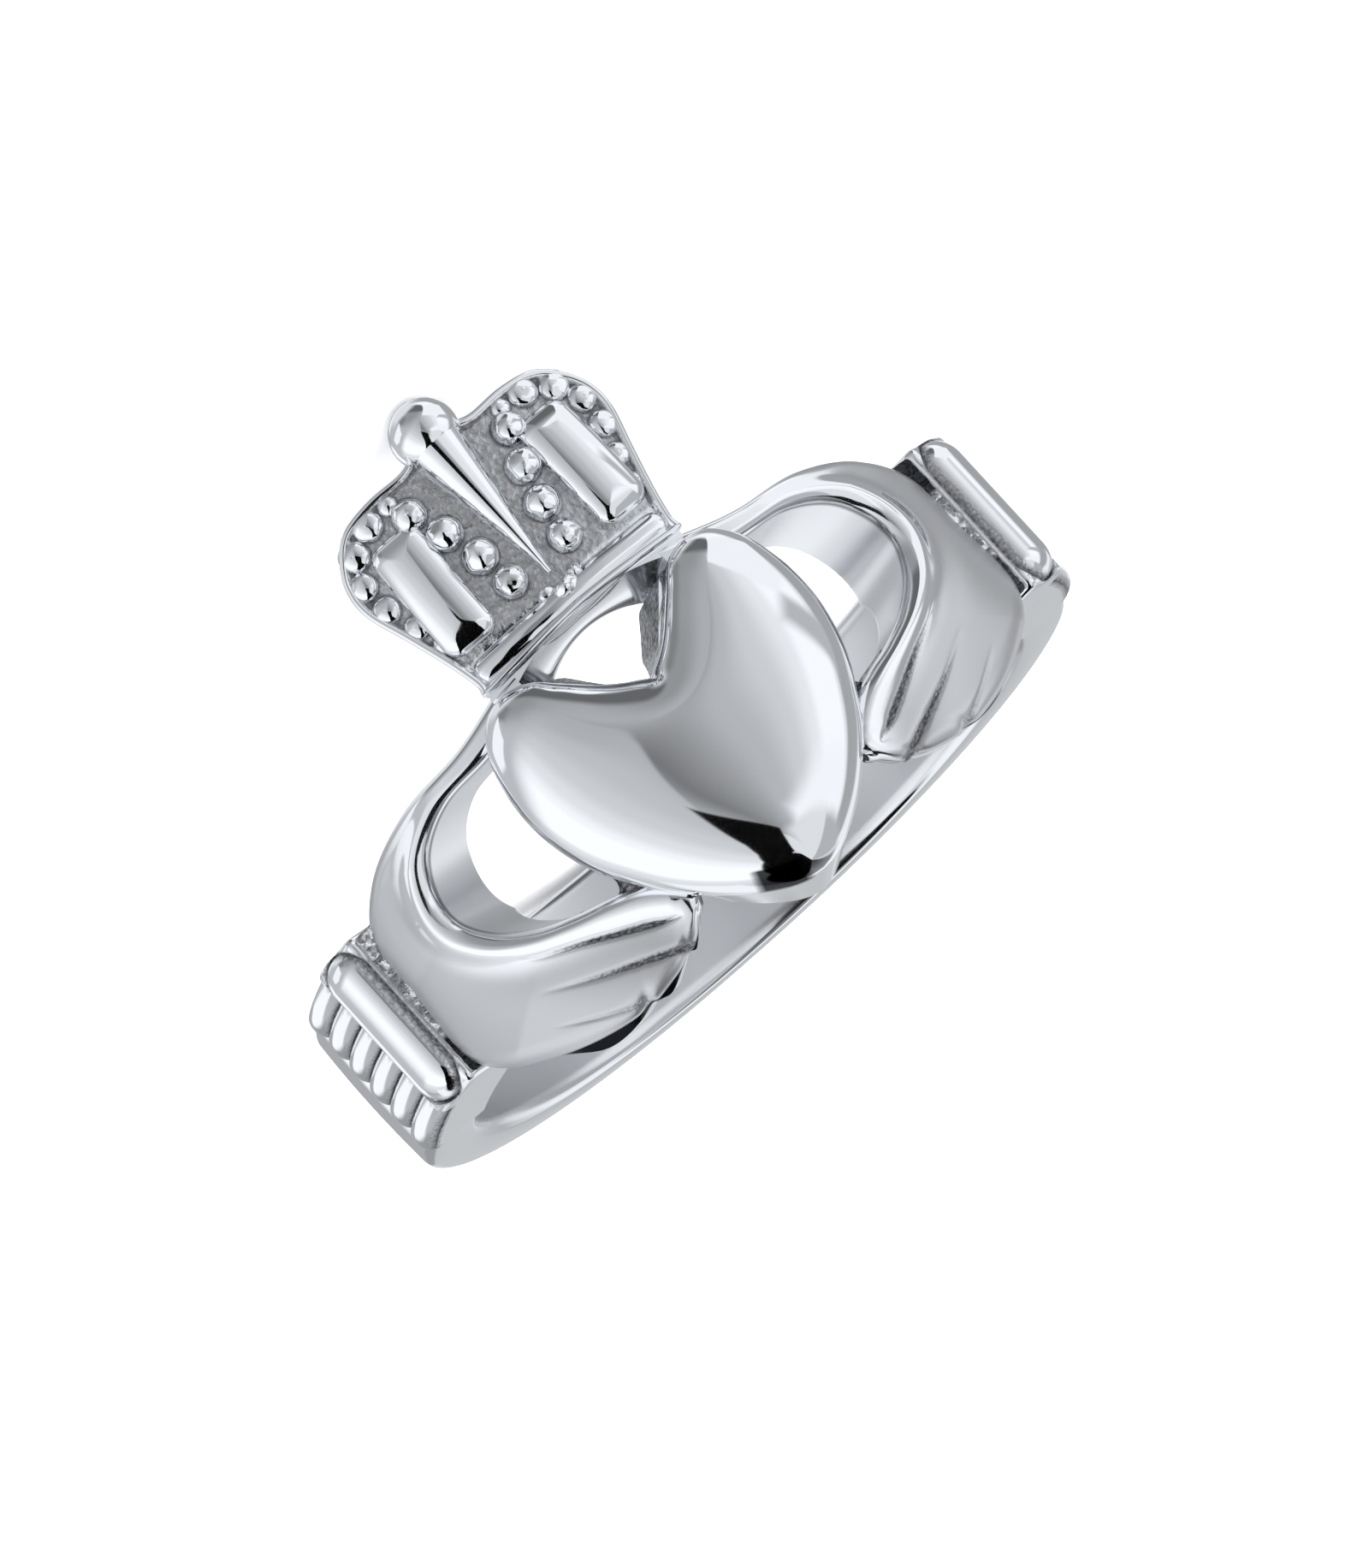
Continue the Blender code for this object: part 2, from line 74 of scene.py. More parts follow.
# %% From the ring frame, in millimetres, to the table, in metres
MM = 0.001
HEAD_RADIUS = 10.70
BORE_RADIUS = 8.65
REST_TILT = math.radians(22.119)
REST_SHIFT = np.array([0.0, 2.2137, 5.5689])
COS_TILT = math.cos(REST_TILT)
SIN_TILT = math.sin(REST_TILT)
TURN = np.array([[-1, 0, 0], [0, COS_TILT, -SIN_TILT], [0, -SIN_TILT, -COS_TILT]])


def on_ring(s, z, radius):
    """Point at arc length s: x = radius sin(s / R), y = -radius cos(s / R), with R the head's radius."""
    s, z, radius = np.broadcast_arrays(s, z, radius)
    theta = s / HEAD_RADIUS
    return np.stack([radius * np.sin(theta), -radius * np.cos(theta), z], axis=-1)


def on_table(points):
    """Ring frame to table frame: turned about the x axis, then lifted onto the table."""
    return (np.asarray(points) @ TURN.T + REST_SHIFT) * MM


print("head at", on_table(on_ring(0.0, 0.0, HEAD_RADIUS)).round(5))

# %% [markdown]
# ## Helpers
# A few measured points give each outline. A Catmull-Rom spline runs smoothly through them, so
# the table stays short and the curve can be sampled as finely as the reflections need.


# %% Smooth curves through short tables
def unit(x):
    """x held between 0 and 1."""
    return np.clip(x, 0, 1)


def bell(x, width):
    """1 where x is 0, falling away on both sides as exp(-(x / width)^2)."""
    return np.exp(-(x / width) ** 2)


def smooth(x):
    """Soft step of a share between 0 and 1: x^2 (3 - 2x)."""
    return x * x * (3 - 2 * x)


def through(table, steps):
    """Catmull-Rom curve: each stretch is a cubic whose slope at a point joins its two neighbours."""
    table = np.asarray(table, float)
    ends = np.vstack([2 * table[0] - table[1], table, 2 * table[-1] - table[-2]])
    a, b, c, d = [ends[k:len(table) - 1 + k, None, :] for k in range(4)]
    t = np.linspace(0.0, 1.0, steps, endpoint=False)[None, :, None]
    inner = 0.5 * (2 * b + (c - a) * t + (2 * a - 5 * b + 4 * c - d) * t ** 2
                   + (3 * b - a - 3 * c + d) * t ** 3)
    return np.vstack([inner.reshape(-1, table.shape[1]), table[-1:]])


def evenly(curve, count):
    """The same curve with its points spaced evenly along its length."""
    steps = np.linalg.norm(np.diff(curve, axis=0), axis=1)
    length = np.concatenate([[0.0], np.cumsum(steps)])
    wanted = np.linspace(0.0, length[-1], count)
    return np.stack([np.interp(wanted, length, column) for column in curve.T], axis=-1)


def mirrored(half):
    """Closed outline from a half outline and its mirror image in s = 0."""
    return np.vstack([half, half[-2:0:-1] * [-1, 1]])


def inset(loop, distance):
    """Closed outline moved inwards: each point goes along the normal of its two neighbours' chord."""
    chord = np.roll(loop, -1, axis=0) - np.roll(loop, 1, axis=0)
    chord /= np.linalg.norm(chord, axis=1, keepdims=True)
    area = 0.5 * np.sum(loop[:, 0] * np.roll(loop[:, 1], -1) - np.roll(loop[:, 0], -1) * loop[:, 1])
    normal = np.stack([-chord[:, 1], chord[:, 0]], axis=-1) * np.sign(area)
    return loop + normal * distance


def grain(points, size, seed):
    """Smooth noise between -1 and 1: random values on a lattice of cells, blended between corners."""
    lattice = np.random.default_rng(seed).uniform(-1, 1, (32, 32, 32))
    scaled = np.asarray(points) / size
    cell = np.floor(scaled).astype(int)
    part = scaled - cell
    part = smooth(part)
    total = 0.0
    for corner in np.ndindex(2, 2, 2):
        index = (cell + corner) % 32
        weight = np.prod(np.where(corner, part, 1 - part), axis=-1)
        total = total + weight * lattice[index[..., 0], index[..., 1], index[..., 2]]
    return total


print("a curve through 3 points:", through([(0, 0), (1, 1), (2, 0)], 8).shape)

# %% [markdown]
# ## A skin over a grid
# Every piece is a stack of closed sections. The skin joins neighbouring sections with quads and
# closes each end with a fan to one point, so the piece is watertight. If its signed volume comes
# out negative the faces are turned round, so they always point outwards. Three masks ride on the
# points for the material: recess for rough cast metal, satin for duller polish, and the third for
# painted shade, the dark of shadows and dark reflections painted into the colour.


# %% Grids to meshes
PIECES = []
MASKS = ("recess", "satin", "painted_shade")


def skin_faces(rows, count):
    """Quads (i, j), (i, j+1), (i+1, j+1), (i+1, j), with j going round."""
    i = np.arange(rows - 1)[:, None]
    j = np.arange(count)[None, :]
    k = (j + 1) % count
    corners = [i * count + j, i * count + k, (i + 1) * count + k, (i + 1) * count + j]
    return np.stack(np.broadcast_arrays(*corners), axis=-1).reshape(-1, 4)


def skin(rows, first=None, last=None, mask=0.0, satin=0.0, painted_shade=0.0):
    """Points, quads, triangles and three masks of one closed shell through the sections rows[i, j]."""
    rows = np.asarray(rows, float)
    n, m = rows.shape[:2]
    first = rows[0].mean(axis=0) if first is None else first
    last = rows[-1].mean(axis=0) if last is None else last
    points = np.vstack([rows.reshape(-1, 3), first, last])
    masks = np.stack([np.broadcast_to(part, (n, m)).reshape(-1) for part in (mask, satin, painted_shade)], axis=-1)
    masks = np.vstack([masks, masks[:1], masks[-1:]])
    j = np.arange(m)
    k = (j + 1) % m
    start = np.stack([k, j, np.full(m, n * m)], axis=-1)
    end = np.stack([(n - 1) * m + j, (n - 1) * m + k, np.full(m, n * m + 1)], axis=-1)
    return outward(points, skin_faces(n, m), np.vstack([start, end]), masks)


def outward(points, quads, triangles, mask):
    """Turns the faces round if the volume under them, the sum of a.(b x c) / 6, is negative."""
    split = np.vstack([quads[:, [0, 1, 2]], quads[:, [0, 2, 3]], triangles])
    a, b, c = (points[split[:, k]] for k in range(3))
    if np.sum(a * np.cross(b, c)) < 0:
        quads = quads[:, ::-1]
        triangles = triangles[:, ::-1]
    return points, quads, triangles, mask


def placed(name, data):
    """New object in the scene that shows the given data."""
    item = bpy.data.objects.new(name, data)
    bpy.context.scene.collection.objects.link(item)
    return item


def cast(name, shells, material, crease=40.0):
    """One mesh object from closed shells, laid on the table, smooth except where faces meet sharply."""
    start = np.cumsum([0] + [len(shell[0]) for shell in shells])
    points = np.vstack([shell[0] for shell in shells])
    quads = np.vstack([shell[1] + k for shell, k in zip(shells, start)])
    triangles = np.vstack([shell[2] + k for shell, k in zip(shells, start)])
    masks = unit(np.vstack([shell[3] for shell in shells])).astype(np.float32)
    mesh = bpy.data.meshes.new(name)
    mesh.vertices.add(len(points))
    mesh.vertices.foreach_set("co", on_table(points).ravel())
    corners = np.concatenate([quads.ravel(), triangles.ravel()])
    sizes = np.concatenate([np.full(len(quads), 4), np.full(len(triangles), 3)])
    mesh.loops.add(len(corners))
    mesh.loops.foreach_set("vertex_index", corners.astype(np.int32))
    mesh.polygons.add(len(sizes))
    mesh.polygons.foreach_set("loop_start", (np.cumsum(sizes) - sizes).astype(np.int32))
    mesh.update(calc_edges=True)
    for label, values in zip(MASKS, masks.T):
        mesh.attributes.new(label, "FLOAT", "POINT").data.foreach_set("value", values.copy())
    mesh.validate()
    mesh.shade_smooth()
    mesh.set_sharp_from_angle(angle=math.radians(crease))
    mesh.materials.append(material)
    piece = placed(name, mesh)
    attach(piece, "root")
    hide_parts("claddagh_ring")
    PIECES.append(piece)
    box = on_table(points) / MM
    print(name, len(sizes), "faces, box in mm", box.min(axis=0).round(3), box.max(axis=0).round(3))
    return piece


# %% [markdown]
# ## Silver
# Cast silver is one colour with two finishes. The hands, heart and band are polished to a mirror,
# with hair-fine wear from handling. The ground between the beads and the bottoms of the grooves
# keep the skin of the mould: a fine grain, greyer in its pits. Painted shade darkens the hollows
# and grooves, greys the backs of the hands and the bore, and is nearly black under the fingertips,
# by the heart's tip and beside the cuffs. Three node groups hold those effects, and each material
# takes them with its own amounts. The skin's three masks say where, and each material reads them
# as attributes.


# %% Node groups that more than one silver uses
def new_group(name, inputs, outputs):
    """Empty shader node group with named sockets; inputs give (name, kind, default)."""
    group = bpy.data.node_groups.new(name, "ShaderNodeTree")
    for label, kind, default in inputs:
        socket = group.interface.new_socket(label, in_out="INPUT", socket_type=kind)
        if default is not None:
            socket.default_value = default
    for label, kind in outputs:
        group.interface.new_socket(label, in_out="OUTPUT", socket_type=kind)
    return group, group.nodes.new("NodeGroupInput"), group.nodes.new("NodeGroupOutput")


def add(tree, kind, links=(), **settings):
    """New node with its settings, its plain input values and its links."""
    node = tree.nodes.new(kind)
    for key, value in settings.items():
        setattr(node, key, value)
    for socket, source in links:
        if hasattr(source, "is_output"):
            tree.links.new(source, node.inputs[socket])
        else:
            node.inputs[socket].default_value = source
    return node


def maths(tree, operation, a, b=0.0):
    """One arithmetic step on two values or sockets."""
    return add(tree, "ShaderNodeMath", [(0, a), (1, b)], operation=operation).outputs[0]


def blend(tree, factor, a, b):
    """Colour a where the factor is 0 and colour b where it is 1."""
    return add(tree, "ShaderNodeMix", [("Factor", factor), (6, a), (7, b)], data_type="RGBA").outputs[2]


BRIGHT = (0.90, 0.91, 0.93, 1.0)
# Painted shade: the near black that the third mask paints where shadows and dark reflections fall.
PAINTED_BLACK = (0.012, 0.013, 0.016, 1.0)


def casting_grain_group():
    """Skin of the mould: two sizes of noise over small pits, scaled by a mask."""
    group, given, out = new_group(
        "casting_grain",
        [("Vector", "NodeSocketVector", None), ("Scale", "NodeSocketFloat", 9000.0),
         ("Mask", "NodeSocketFloat", 1.0)],
        [("Height", "NodeSocketFloat"), ("Pits", "NodeSocketFloat")])
    coarse = add(group, "ShaderNodeTexNoise", [("Vector", given.outputs[0]), ("Scale", given.outputs[1]),
                                               ("Detail", 3.0), ("Roughness", 0.6)])
    cells = add(group, "ShaderNodeTexVoronoi", [("Vector", given.outputs[0]), ("Scale", given.outputs[1])])
    mixed = maths(group, "ADD", coarse.outputs[0], maths(group, "MULTIPLY", cells.outputs[0], 0.8))
    group.links.new(maths(group, "MULTIPLY", mixed, given.outputs[2]), out.inputs[0])
    pits = add(group, "ShaderNodeMapRange", [("Value", mixed), ("From Min", 0.55), ("From Max", 1.15)])
    group.links.new(maths(group, "MULTIPLY", pits.outputs[0], given.outputs[2]), out.inputs[1])
    return group


def handling_wear_group():
    """Roughness of a worn polish: the base value plus soft smears, stretched along the object."""
    group, given, out = new_group(
        "handling_wear",
        [("Vector", "NodeSocketVector", None), ("Base", "NodeSocketFloat", 0.06),
         ("Amount", "NodeSocketFloat", 0.05), ("Recess", "NodeSocketFloat", 0.0),
         ("Recess Roughness", "NodeSocketFloat", 0.4)],
        [("Roughness", "NodeSocketFloat")])
    smear = add(group, "ShaderNodeTexNoise", [("Vector", given.outputs[0]), ("Scale", 420.0),
                                              ("Detail", 4.0), ("Roughness", 0.65)])
    worn = maths(group, "MULTIPLY", maths(group, "POWER", smear.outputs[0], 2.0), given.outputs[2])
    base = maths(group, "ADD", given.outputs[1], worn)
    low = maths(group, "MULTIPLY", given.outputs[3], given.outputs[4])
    group.links.new(maths(group, "ADD", base, low), out.inputs[0])
    return group


def pits_and_painted_shade_group():
    """Colour of silver: bright, greyer in the pits of rough metal, and nearly black where the third mask
    paints shade.
    """
    group, given, out = new_group(
        "pits_and_painted_shade",
        [("Bright", "NodeSocketColor", BRIGHT), ("Dark", "NodeSocketColor", (0.2, 0.21, 0.23, 1)),
         ("Recess", "NodeSocketFloat", 0.0), ("Amount", "NodeSocketFloat", 1.0),
         ("Painted Shade", "NodeSocketFloat", 0.0)],
        [("Colour", "NodeSocketColor")])
    share = maths(group, "MULTIPLY", given.outputs[2], given.outputs[3])
    colour = blend(group, share, given.outputs[0], given.outputs[1])
    group.links.new(blend(group, given.outputs[4], colour, PAINTED_BLACK), out.inputs[0])
    return group


GRAIN = casting_grain_group()
WEAR = handling_wear_group()
PITS_AND_PAINTED_SHADE = pits_and_painted_shade_group()
print("node groups:", [g.name for g in (GRAIN, WEAR, PITS_AND_PAINTED_SHADE)])


# %% The silvers
def silver(name, dark, roughness, wear, grain_scale, grain_depth, recess_amount):
    """Principled silver whose colour, roughness and bump come from the three groups."""
    material = bpy.data.materials.new(name)
    material.use_nodes = True
    tree = material.node_tree
    shader = tree.nodes["Principled BSDF"]
    shader.inputs["Metallic"].default_value = 1.0
    where = add(tree, "ShaderNodeTexCoord").outputs["Object"]
    recess, satin, painted_shade = (add(tree, "ShaderNodeAttribute", attribute_name=label).outputs["Fac"]
                           for label in MASKS)
    grained = add(tree, "ShaderNodeGroup",
                  [("Vector", where), ("Scale", grain_scale), ("Mask", recess)], node_tree=GRAIN)
    dull = maths(tree, "MAXIMUM", recess, satin)
    worn = add(tree, "ShaderNodeGroup", [("Vector", where), ("Base", roughness), ("Amount", wear),
                                         ("Recess", dull)], node_tree=WEAR)
    # The third mask paints shade into the base colour.
    colour = add(tree, "ShaderNodeGroup",
                 [("Bright", BRIGHT), ("Dark", dark), ("Recess", grained.outputs["Pits"]),
                  ("Amount", recess_amount), ("Painted Shade", painted_shade)], node_tree=PITS_AND_PAINTED_SHADE)
    bump = add(tree, "ShaderNodeBump", [("Strength", 1.0), ("Distance", grain_depth),
                                        ("Height", grained.outputs["Height"])])
    tree.links.new(worn.outputs["Roughness"], shader.inputs["Roughness"])
    tree.links.new(colour.outputs["Colour"], shader.inputs["Base Color"])
    tree.links.new(bump.outputs["Normal"], shader.inputs["Normal"])
    print("material", name)
    return material


POLISHED = silver("polished_silver", dark=(0.20, 0.21, 0.235, 1), roughness=0.04, wear=0.03,
                  grain_scale=9000.0, grain_depth=0.00004, recess_amount=0.9)
CAST = silver("as_cast_silver", dark=(0.26, 0.27, 0.30, 1), roughness=0.06, wear=0.05,
              grain_scale=6500.0, grain_depth=0.00006, recess_amount=0.7)

# %% [markdown]
# ## Band
# The band behind the finger is plain: a nearly flat section with rounded edges, carried round
# the ring from one cuff to the other. Its inner edges are eased more, for comfort, and that
# rounding is what catches the long bright line along the rim.


# %% Band
BAND_RADIUS = 10.28
BAND_THINNING = 0.57
BAND_HALF_WIDTH = 2.146
BORE_SATIN = 0.6
BORE_PAINTED_SHADE = 0.22
THINNING_FROM = 85


def rounded_section(inner, outer, half_width, inner_round, outer_round, dome, count=12):
    """Closed section (radius, z): four straight sides joined by quarter ellipses, outside domed."""
    turn = np.linspace(0, math.pi / 2, 9)
    side = np.linspace(-1, 1, count)
    low = half_width - inner_round[1]
    high = half_width - outer_round[1]
    bottom = np.stack([np.full(count, inner), low * side], axis=-1)
    curve_in = np.stack([inner + inner_round[0] * (1 - np.cos(turn)),
                         low + inner_round[1] * np.sin(turn)], axis=-1)
    curve_out = np.stack([outer - outer_round[0] * (1 - np.sin(turn)),
                          high + outer_round[1] * np.cos(turn)], axis=-1)
    top = np.stack([outer + dome * (1 - side ** 2), -high * side], axis=-1)
    flip = np.array([1, -1])
    return np.vstack([bottom[:-1], curve_in, curve_out[:-1], top[:-1],
                      (curve_out * flip)[::-1], (curve_in * flip)[:0:-1]])


def sweep(sections, degrees):
    """Sections (radius, z) carried round the finger: x = r sin(angle), y = -r cos(angle)."""
    angle = np.radians(degrees)[:, None]
    r = sections[..., 0]
    return np.stack([r * np.sin(angle), -r * np.cos(angle), sections[..., 1] + 0 * angle], axis=-1)


def band():
    """Outer radius 10.28 at the shoulders, falling to 9.71 at the back; the bore is satin, with painted
    shade, more beside the cuffs.
    """
    degrees = np.linspace(54.0, 306.0, 241)
    from_back = np.abs(degrees - 180)
    away = unit((THINNING_FROM - from_back) / THINNING_FROM)
    sections = np.stack([rounded_section(BORE_RADIUS, r, BAND_HALF_WIDTH, (0.30, 0.42), (0.26, 0.28), 0.06)
                         for r in BAND_RADIUS - BAND_THINNING * away])
    inside = unit((BORE_RADIUS + 0.12 - sections[..., 0]) / 0.1)
    # Painted shade on the bore, stronger on a strip beside each cuff.
    shade_beside_cuff = bell(from_back - 120, 14)[:, None]
    return skin(sweep(sections, degrees), satin=BORE_SATIN * inside,
                painted_shade=inside * (BORE_PAINTED_SHADE + 0.3 * shade_beside_cuff))


cast("band", [band()], POLISHED)

# %% [markdown]
# ## Heart
# The heart is a puffed cushion with a crease that runs in from its notch. Its level lines are
# the outline itself near the edge and turn into an ellipse towards the top. The height over
# them, (1 - (1 - u)^a)^b, is flat in the middle and drops steeply at the rim, like a polished
# dome. Rows 4 to 13 of the grid are its wall, rough in the notch. Painted shade darkens the
# notch, and a dark reflection is painted near the tip.

# %% Heart
HEART_OUTLINE = [
    # s, z: half outline from the notch round to the tip
    (0.00, 1.40), (0.78, 1.92), (1.55, 2.68), (2.12, 3.24), (2.78, 3.44), (3.46, 3.26),
    (4.02, 2.55), (4.31, 1.45), (4.31, 0.30), (4.00, -0.90), (3.42, -1.98), (2.76, -2.90),
    (1.86, -3.78), (0.98, -4.38), (0.38, -4.63), (0.00, -4.69),
]
HEART_CENTRE = np.array([0.0, 0.05])
HEART_EDGE = 10.92
HEART_RISE = 0.98
HEART_BELLY = 2.0
HEART_BRIM = 0.62
HEART_WALL = (8.65, 8.75, 9.3, 9.8, 10.06, 10.10, 10.4, 10.7, 10.78, HEART_EDGE - 0.06)
HEART_FLARE = 0.55
FLARE_TOP = 10.14
HEART_CALM = (3.4, 3.1)
# Painted shade in the notch, and a painted dark reflection by the tip.
NOTCH_SHADES = ((4, 9, 0.35), (10, 12, 0.45), (12, 13, 0.85))
TIP_SIDE = (-1.5, -0.28)
TIP_TOP = -3.6
TIP_PAINTED_DARK = 0.97


def smooth_distance(points, outline):
    """Soft distance to an outline: (integral of ds / r^3, halved) ^ (-1/2), exact beside a long edge."""
    ahead = np.roll(outline, -1, axis=0)
    step = np.linalg.norm(ahead - outline, axis=1)
    gap = np.linalg.norm(points[..., None, :] - 0.5 * (ahead + outline), axis=-1)
    return (0.5 * np.sum(step / np.maximum(gap, 1e-4) ** 3, axis=-1)) ** -0.5


def heart():
    """Loops from the outline to the middle; height = (1 - (1 - u)^a)^b with u the soft distance."""
    outline = mirrored(evenly(through(HEART_OUTLINE, 16), 121))
    away = outline - HEART_CENTRE
    angle = np.arctan2(away[:, 1], away[:, 0])
    calm = np.stack([HEART_CALM[0] * np.cos(angle), HEART_CALM[1] * np.sin(angle)], axis=-1)
    under = HEART_CENTRE + np.array([0.1, 0.4, 0.7, 0.9])[:, None, None] * away
    rows = [on_ring(under[..., 0], under[..., 1], BORE_RADIUS)]
    s, z = outline.T
    wall = np.array(HEART_WALL)[:, None]
    in_notch = unit((z - 1.5) / 0.7) * unit((2.5 - np.abs(s)) / 0.5)
    flare = HEART_FLARE * in_notch * unit((FLARE_TOP - wall) / (FLARE_TOP - BORE_RADIUS)) ** 0.6
    rows.append(on_ring(s - np.sign(s) * flare, z, wall + 0 * angle))
    t = np.sin(np.linspace(1.0, 0.02, 64) * math.pi / 2)[:, None, None]
    calmness = 0.70 * (1 - t) ** 1.15
    loop = HEART_CENTRE + t * ((1 - calmness) * away + calmness * calm)
    fine = mirrored(evenly(through(HEART_OUTLINE, 16), 601))
    inner = np.concatenate([loop.reshape(-1, 2), [HEART_CENTRE]])
    depth = smooth_distance(inner, fine)
    share = unit(depth / depth.max())
    rise = HEART_RISE * (1 - (1 - share) ** HEART_BELLY) ** HEART_BRIM
    rise[:len(angle)] = 0.0
    rows.append(on_ring(loop[..., 0], loop[..., 1], HEART_EDGE + rise[:-1].reshape(loop.shape[:2])))
    core = on_ring(0.0, HEART_CENTRE[1], BORE_RADIUS)
    peak = on_ring(0.0, HEART_CENTRE[1], HEART_EDGE + rise[-1])
    grid = np.vstack(rows)
    rough = np.zeros(grid.shape[:2])
    shade = np.zeros(grid.shape[:2])
    rough[4:9] = in_notch
    # Painted shade on the notch's wall and rim, and a painted dark reflection by the tip.
    for start, end, amount in NOTCH_SHADES:
        shade[start:end] = amount * in_notch
    at_tip = unit((s - TIP_SIDE[0]) / 0.12) * unit((TIP_SIDE[1] - s) / 0.12) * (z < TIP_TOP)
    shade[12:32] = np.maximum(shade[12:32], TIP_PAINTED_DARK * at_tip)
    return skin(grid, core, peak, mask=rough, painted_shade=shade)


cast("heart", [heart()], POLISHED, crease=50.0)

# %% [markdown]
# ## Hands
# Each hand is a broad strip that leaves the crown's corner, widens over the back of the hand
# and narrows to the fingertips under the heart. A row of the table is one section across it.
# The edge round the piercing is rolled. The fingers are parted by grooves that follow their
# own curves: the metal sinks by depth * exp(-(distance / width)^2). Under the fingertips the
# wall stands out as a narrow ledge, and a web of rough metal fills the corner of the piercing.
# Painted shade greys the backs of the hands, darkens the grooves and the piercing's edge and wall,
# and makes the ledges and the fingertips' end black.

# %% Hands
HAND_SECTIONS = [
    # inner s, inner z, outer s, outer z, crest radius
    (2.30, 2.85, 2.35, 4.00, 10.42),
    (3.35, 2.80, 3.35, 3.66, 10.48),
    (4.40, 2.72, 4.70, 3.36, 10.60),
    (5.75, 2.64, 6.70, 3.26, 10.74),
    (6.85, 2.14, 8.75, 2.72, 10.84),
    (7.44, 1.32, 10.18, 1.72, 10.90),
    (7.50, 0.50, 10.78, 0.20, 10.92),
    (6.98, -0.30, 10.55, -1.20, 10.92),
    (6.05, -0.98, 9.65, -2.42, 10.92),
    (5.05, -1.42, 8.20, -3.28, 10.90),
    (4.20, -1.70, 6.70, -3.90, 10.88),
    (3.45, -2.00, 5.30, -4.18, 10.84),
    (2.85, -2.40, 4.15, -4.06, 10.78),
    (2.56, -2.72, 3.34, -3.78, 10.76),
    (2.48, -2.96, 2.70, -3.33, 10.72),
]
FINGER_GROOVES = [
    # s, z, depth, half width of one groove from its shallow start to the fingertips
    [(6.87, -1.20, 0.00, 0.05), (6.30, -1.58, 0.06, 0.06), (5.34, -2.06, 0.15, 0.07),
     (4.66, -2.43, 0.20, 0.08), (3.92, -2.82, 0.22, 0.09), (3.55, -3.02, 0.14, 0.07),
     (3.10, -3.20, 0.00, 0.05)],
    [(7.00, -2.12, 0.00, 0.05), (6.30, -2.50, 0.05, 0.06), (5.55, -2.90, 0.12, 0.07),
     (4.80, -3.25, 0.18, 0.08), (4.05, -3.60, 0.22, 0.10), (3.40, -3.92, 0.24, 0.12)],
    [(7.30, -2.92, 0.00, 0.04), (6.60, -3.35, 0.05, 0.05), (5.95, -3.72, 0.08, 0.06),
     (5.20, -4.10, 0.12, 0.08)],
]
FINGERTIP_NOTCHES = np.array([(2.98, -3.62), (3.78, -4.02), (5.30, -4.20)])
LEDGES = {
    # station, width, size: how far the wall under the fingertips stands out
    -1: [(10.15, 0.70, 0.34), (11.65, 0.32, 0.22), (12.9, 0.40, 0.12)],
    1: [(10.2, 0.65, 0.08)],
}
EDGE_SWELLS = [
    # rise, place across the hand, half width: the roll on the inner edge and the hollow beside it
    (0.11, 0.42, 0.34), (-0.05, 1.15, 0.55),
]
EDGE_DROPS = [
    # drop, reach: the rounding of the inner edge and of the outer edge
    (0.34, 0.42), (0.30, 0.62),
]
FINGER_WIDTH = 0.34
NOTCH_PULL = 0.13
HAND_LEAN = 0.14
WALL_TUCK = 0.16
# Painted shade: darker down the piercing's wall, grey on the backs of the hands, black on the ledges.
INNER_WALL_SHADE = 0.55
WALL_SATIN = 0.60
HAND_SATIN = 0.70
HAND_SHADE = 0.36
HAND_COLUMNS = 140
STATION_STEPS = 14
WALL_STEPS = np.array([[0.01, 0.125, 0.25, 0.375, 0.5, 0.625, 0.75, 0.875, 1.0]])
LEDGE_SHADE = np.array([1, 1, 0.6, 0.3, 0.15, 0, 0, 0, 0])
BACK_RADIUS = 9.75


def quarter(distance, reach):
    """Rounded edge: 1 at the edge, 0 beyond its reach, following a quarter circle."""
    u = unit(distance / reach)
    return 1 - np.sqrt(unit(1 - (1 - u) ** 2))


def groove_at(s, z):
    """How far the finger grooves sink at (s, z), and the share of rough bottom there."""
    sink = np.zeros_like(s)
    rough = np.zeros_like(s)
    for table in FINGER_GROOVES:
        path = through(table, 40)
        gap = np.hypot(s[..., None] - path[:, 0], z[..., None] - path[:, 1])
        near = gap.argmin(axis=-1)
        distance = gap.min(axis=-1)
        depth = path[near, 2]
        width = path[near, 3]
        sharp = bell(distance, width)
        broad = np.exp(-distance / FINGER_WIDTH)
        sink = sink + depth * (0.6 * sharp + 0.5 * broad)
        share = unit((depth - 0.06) / 0.10)
        rough = np.maximum(rough, share * np.exp(-(distance / width) ** 4))
    return sink, rough


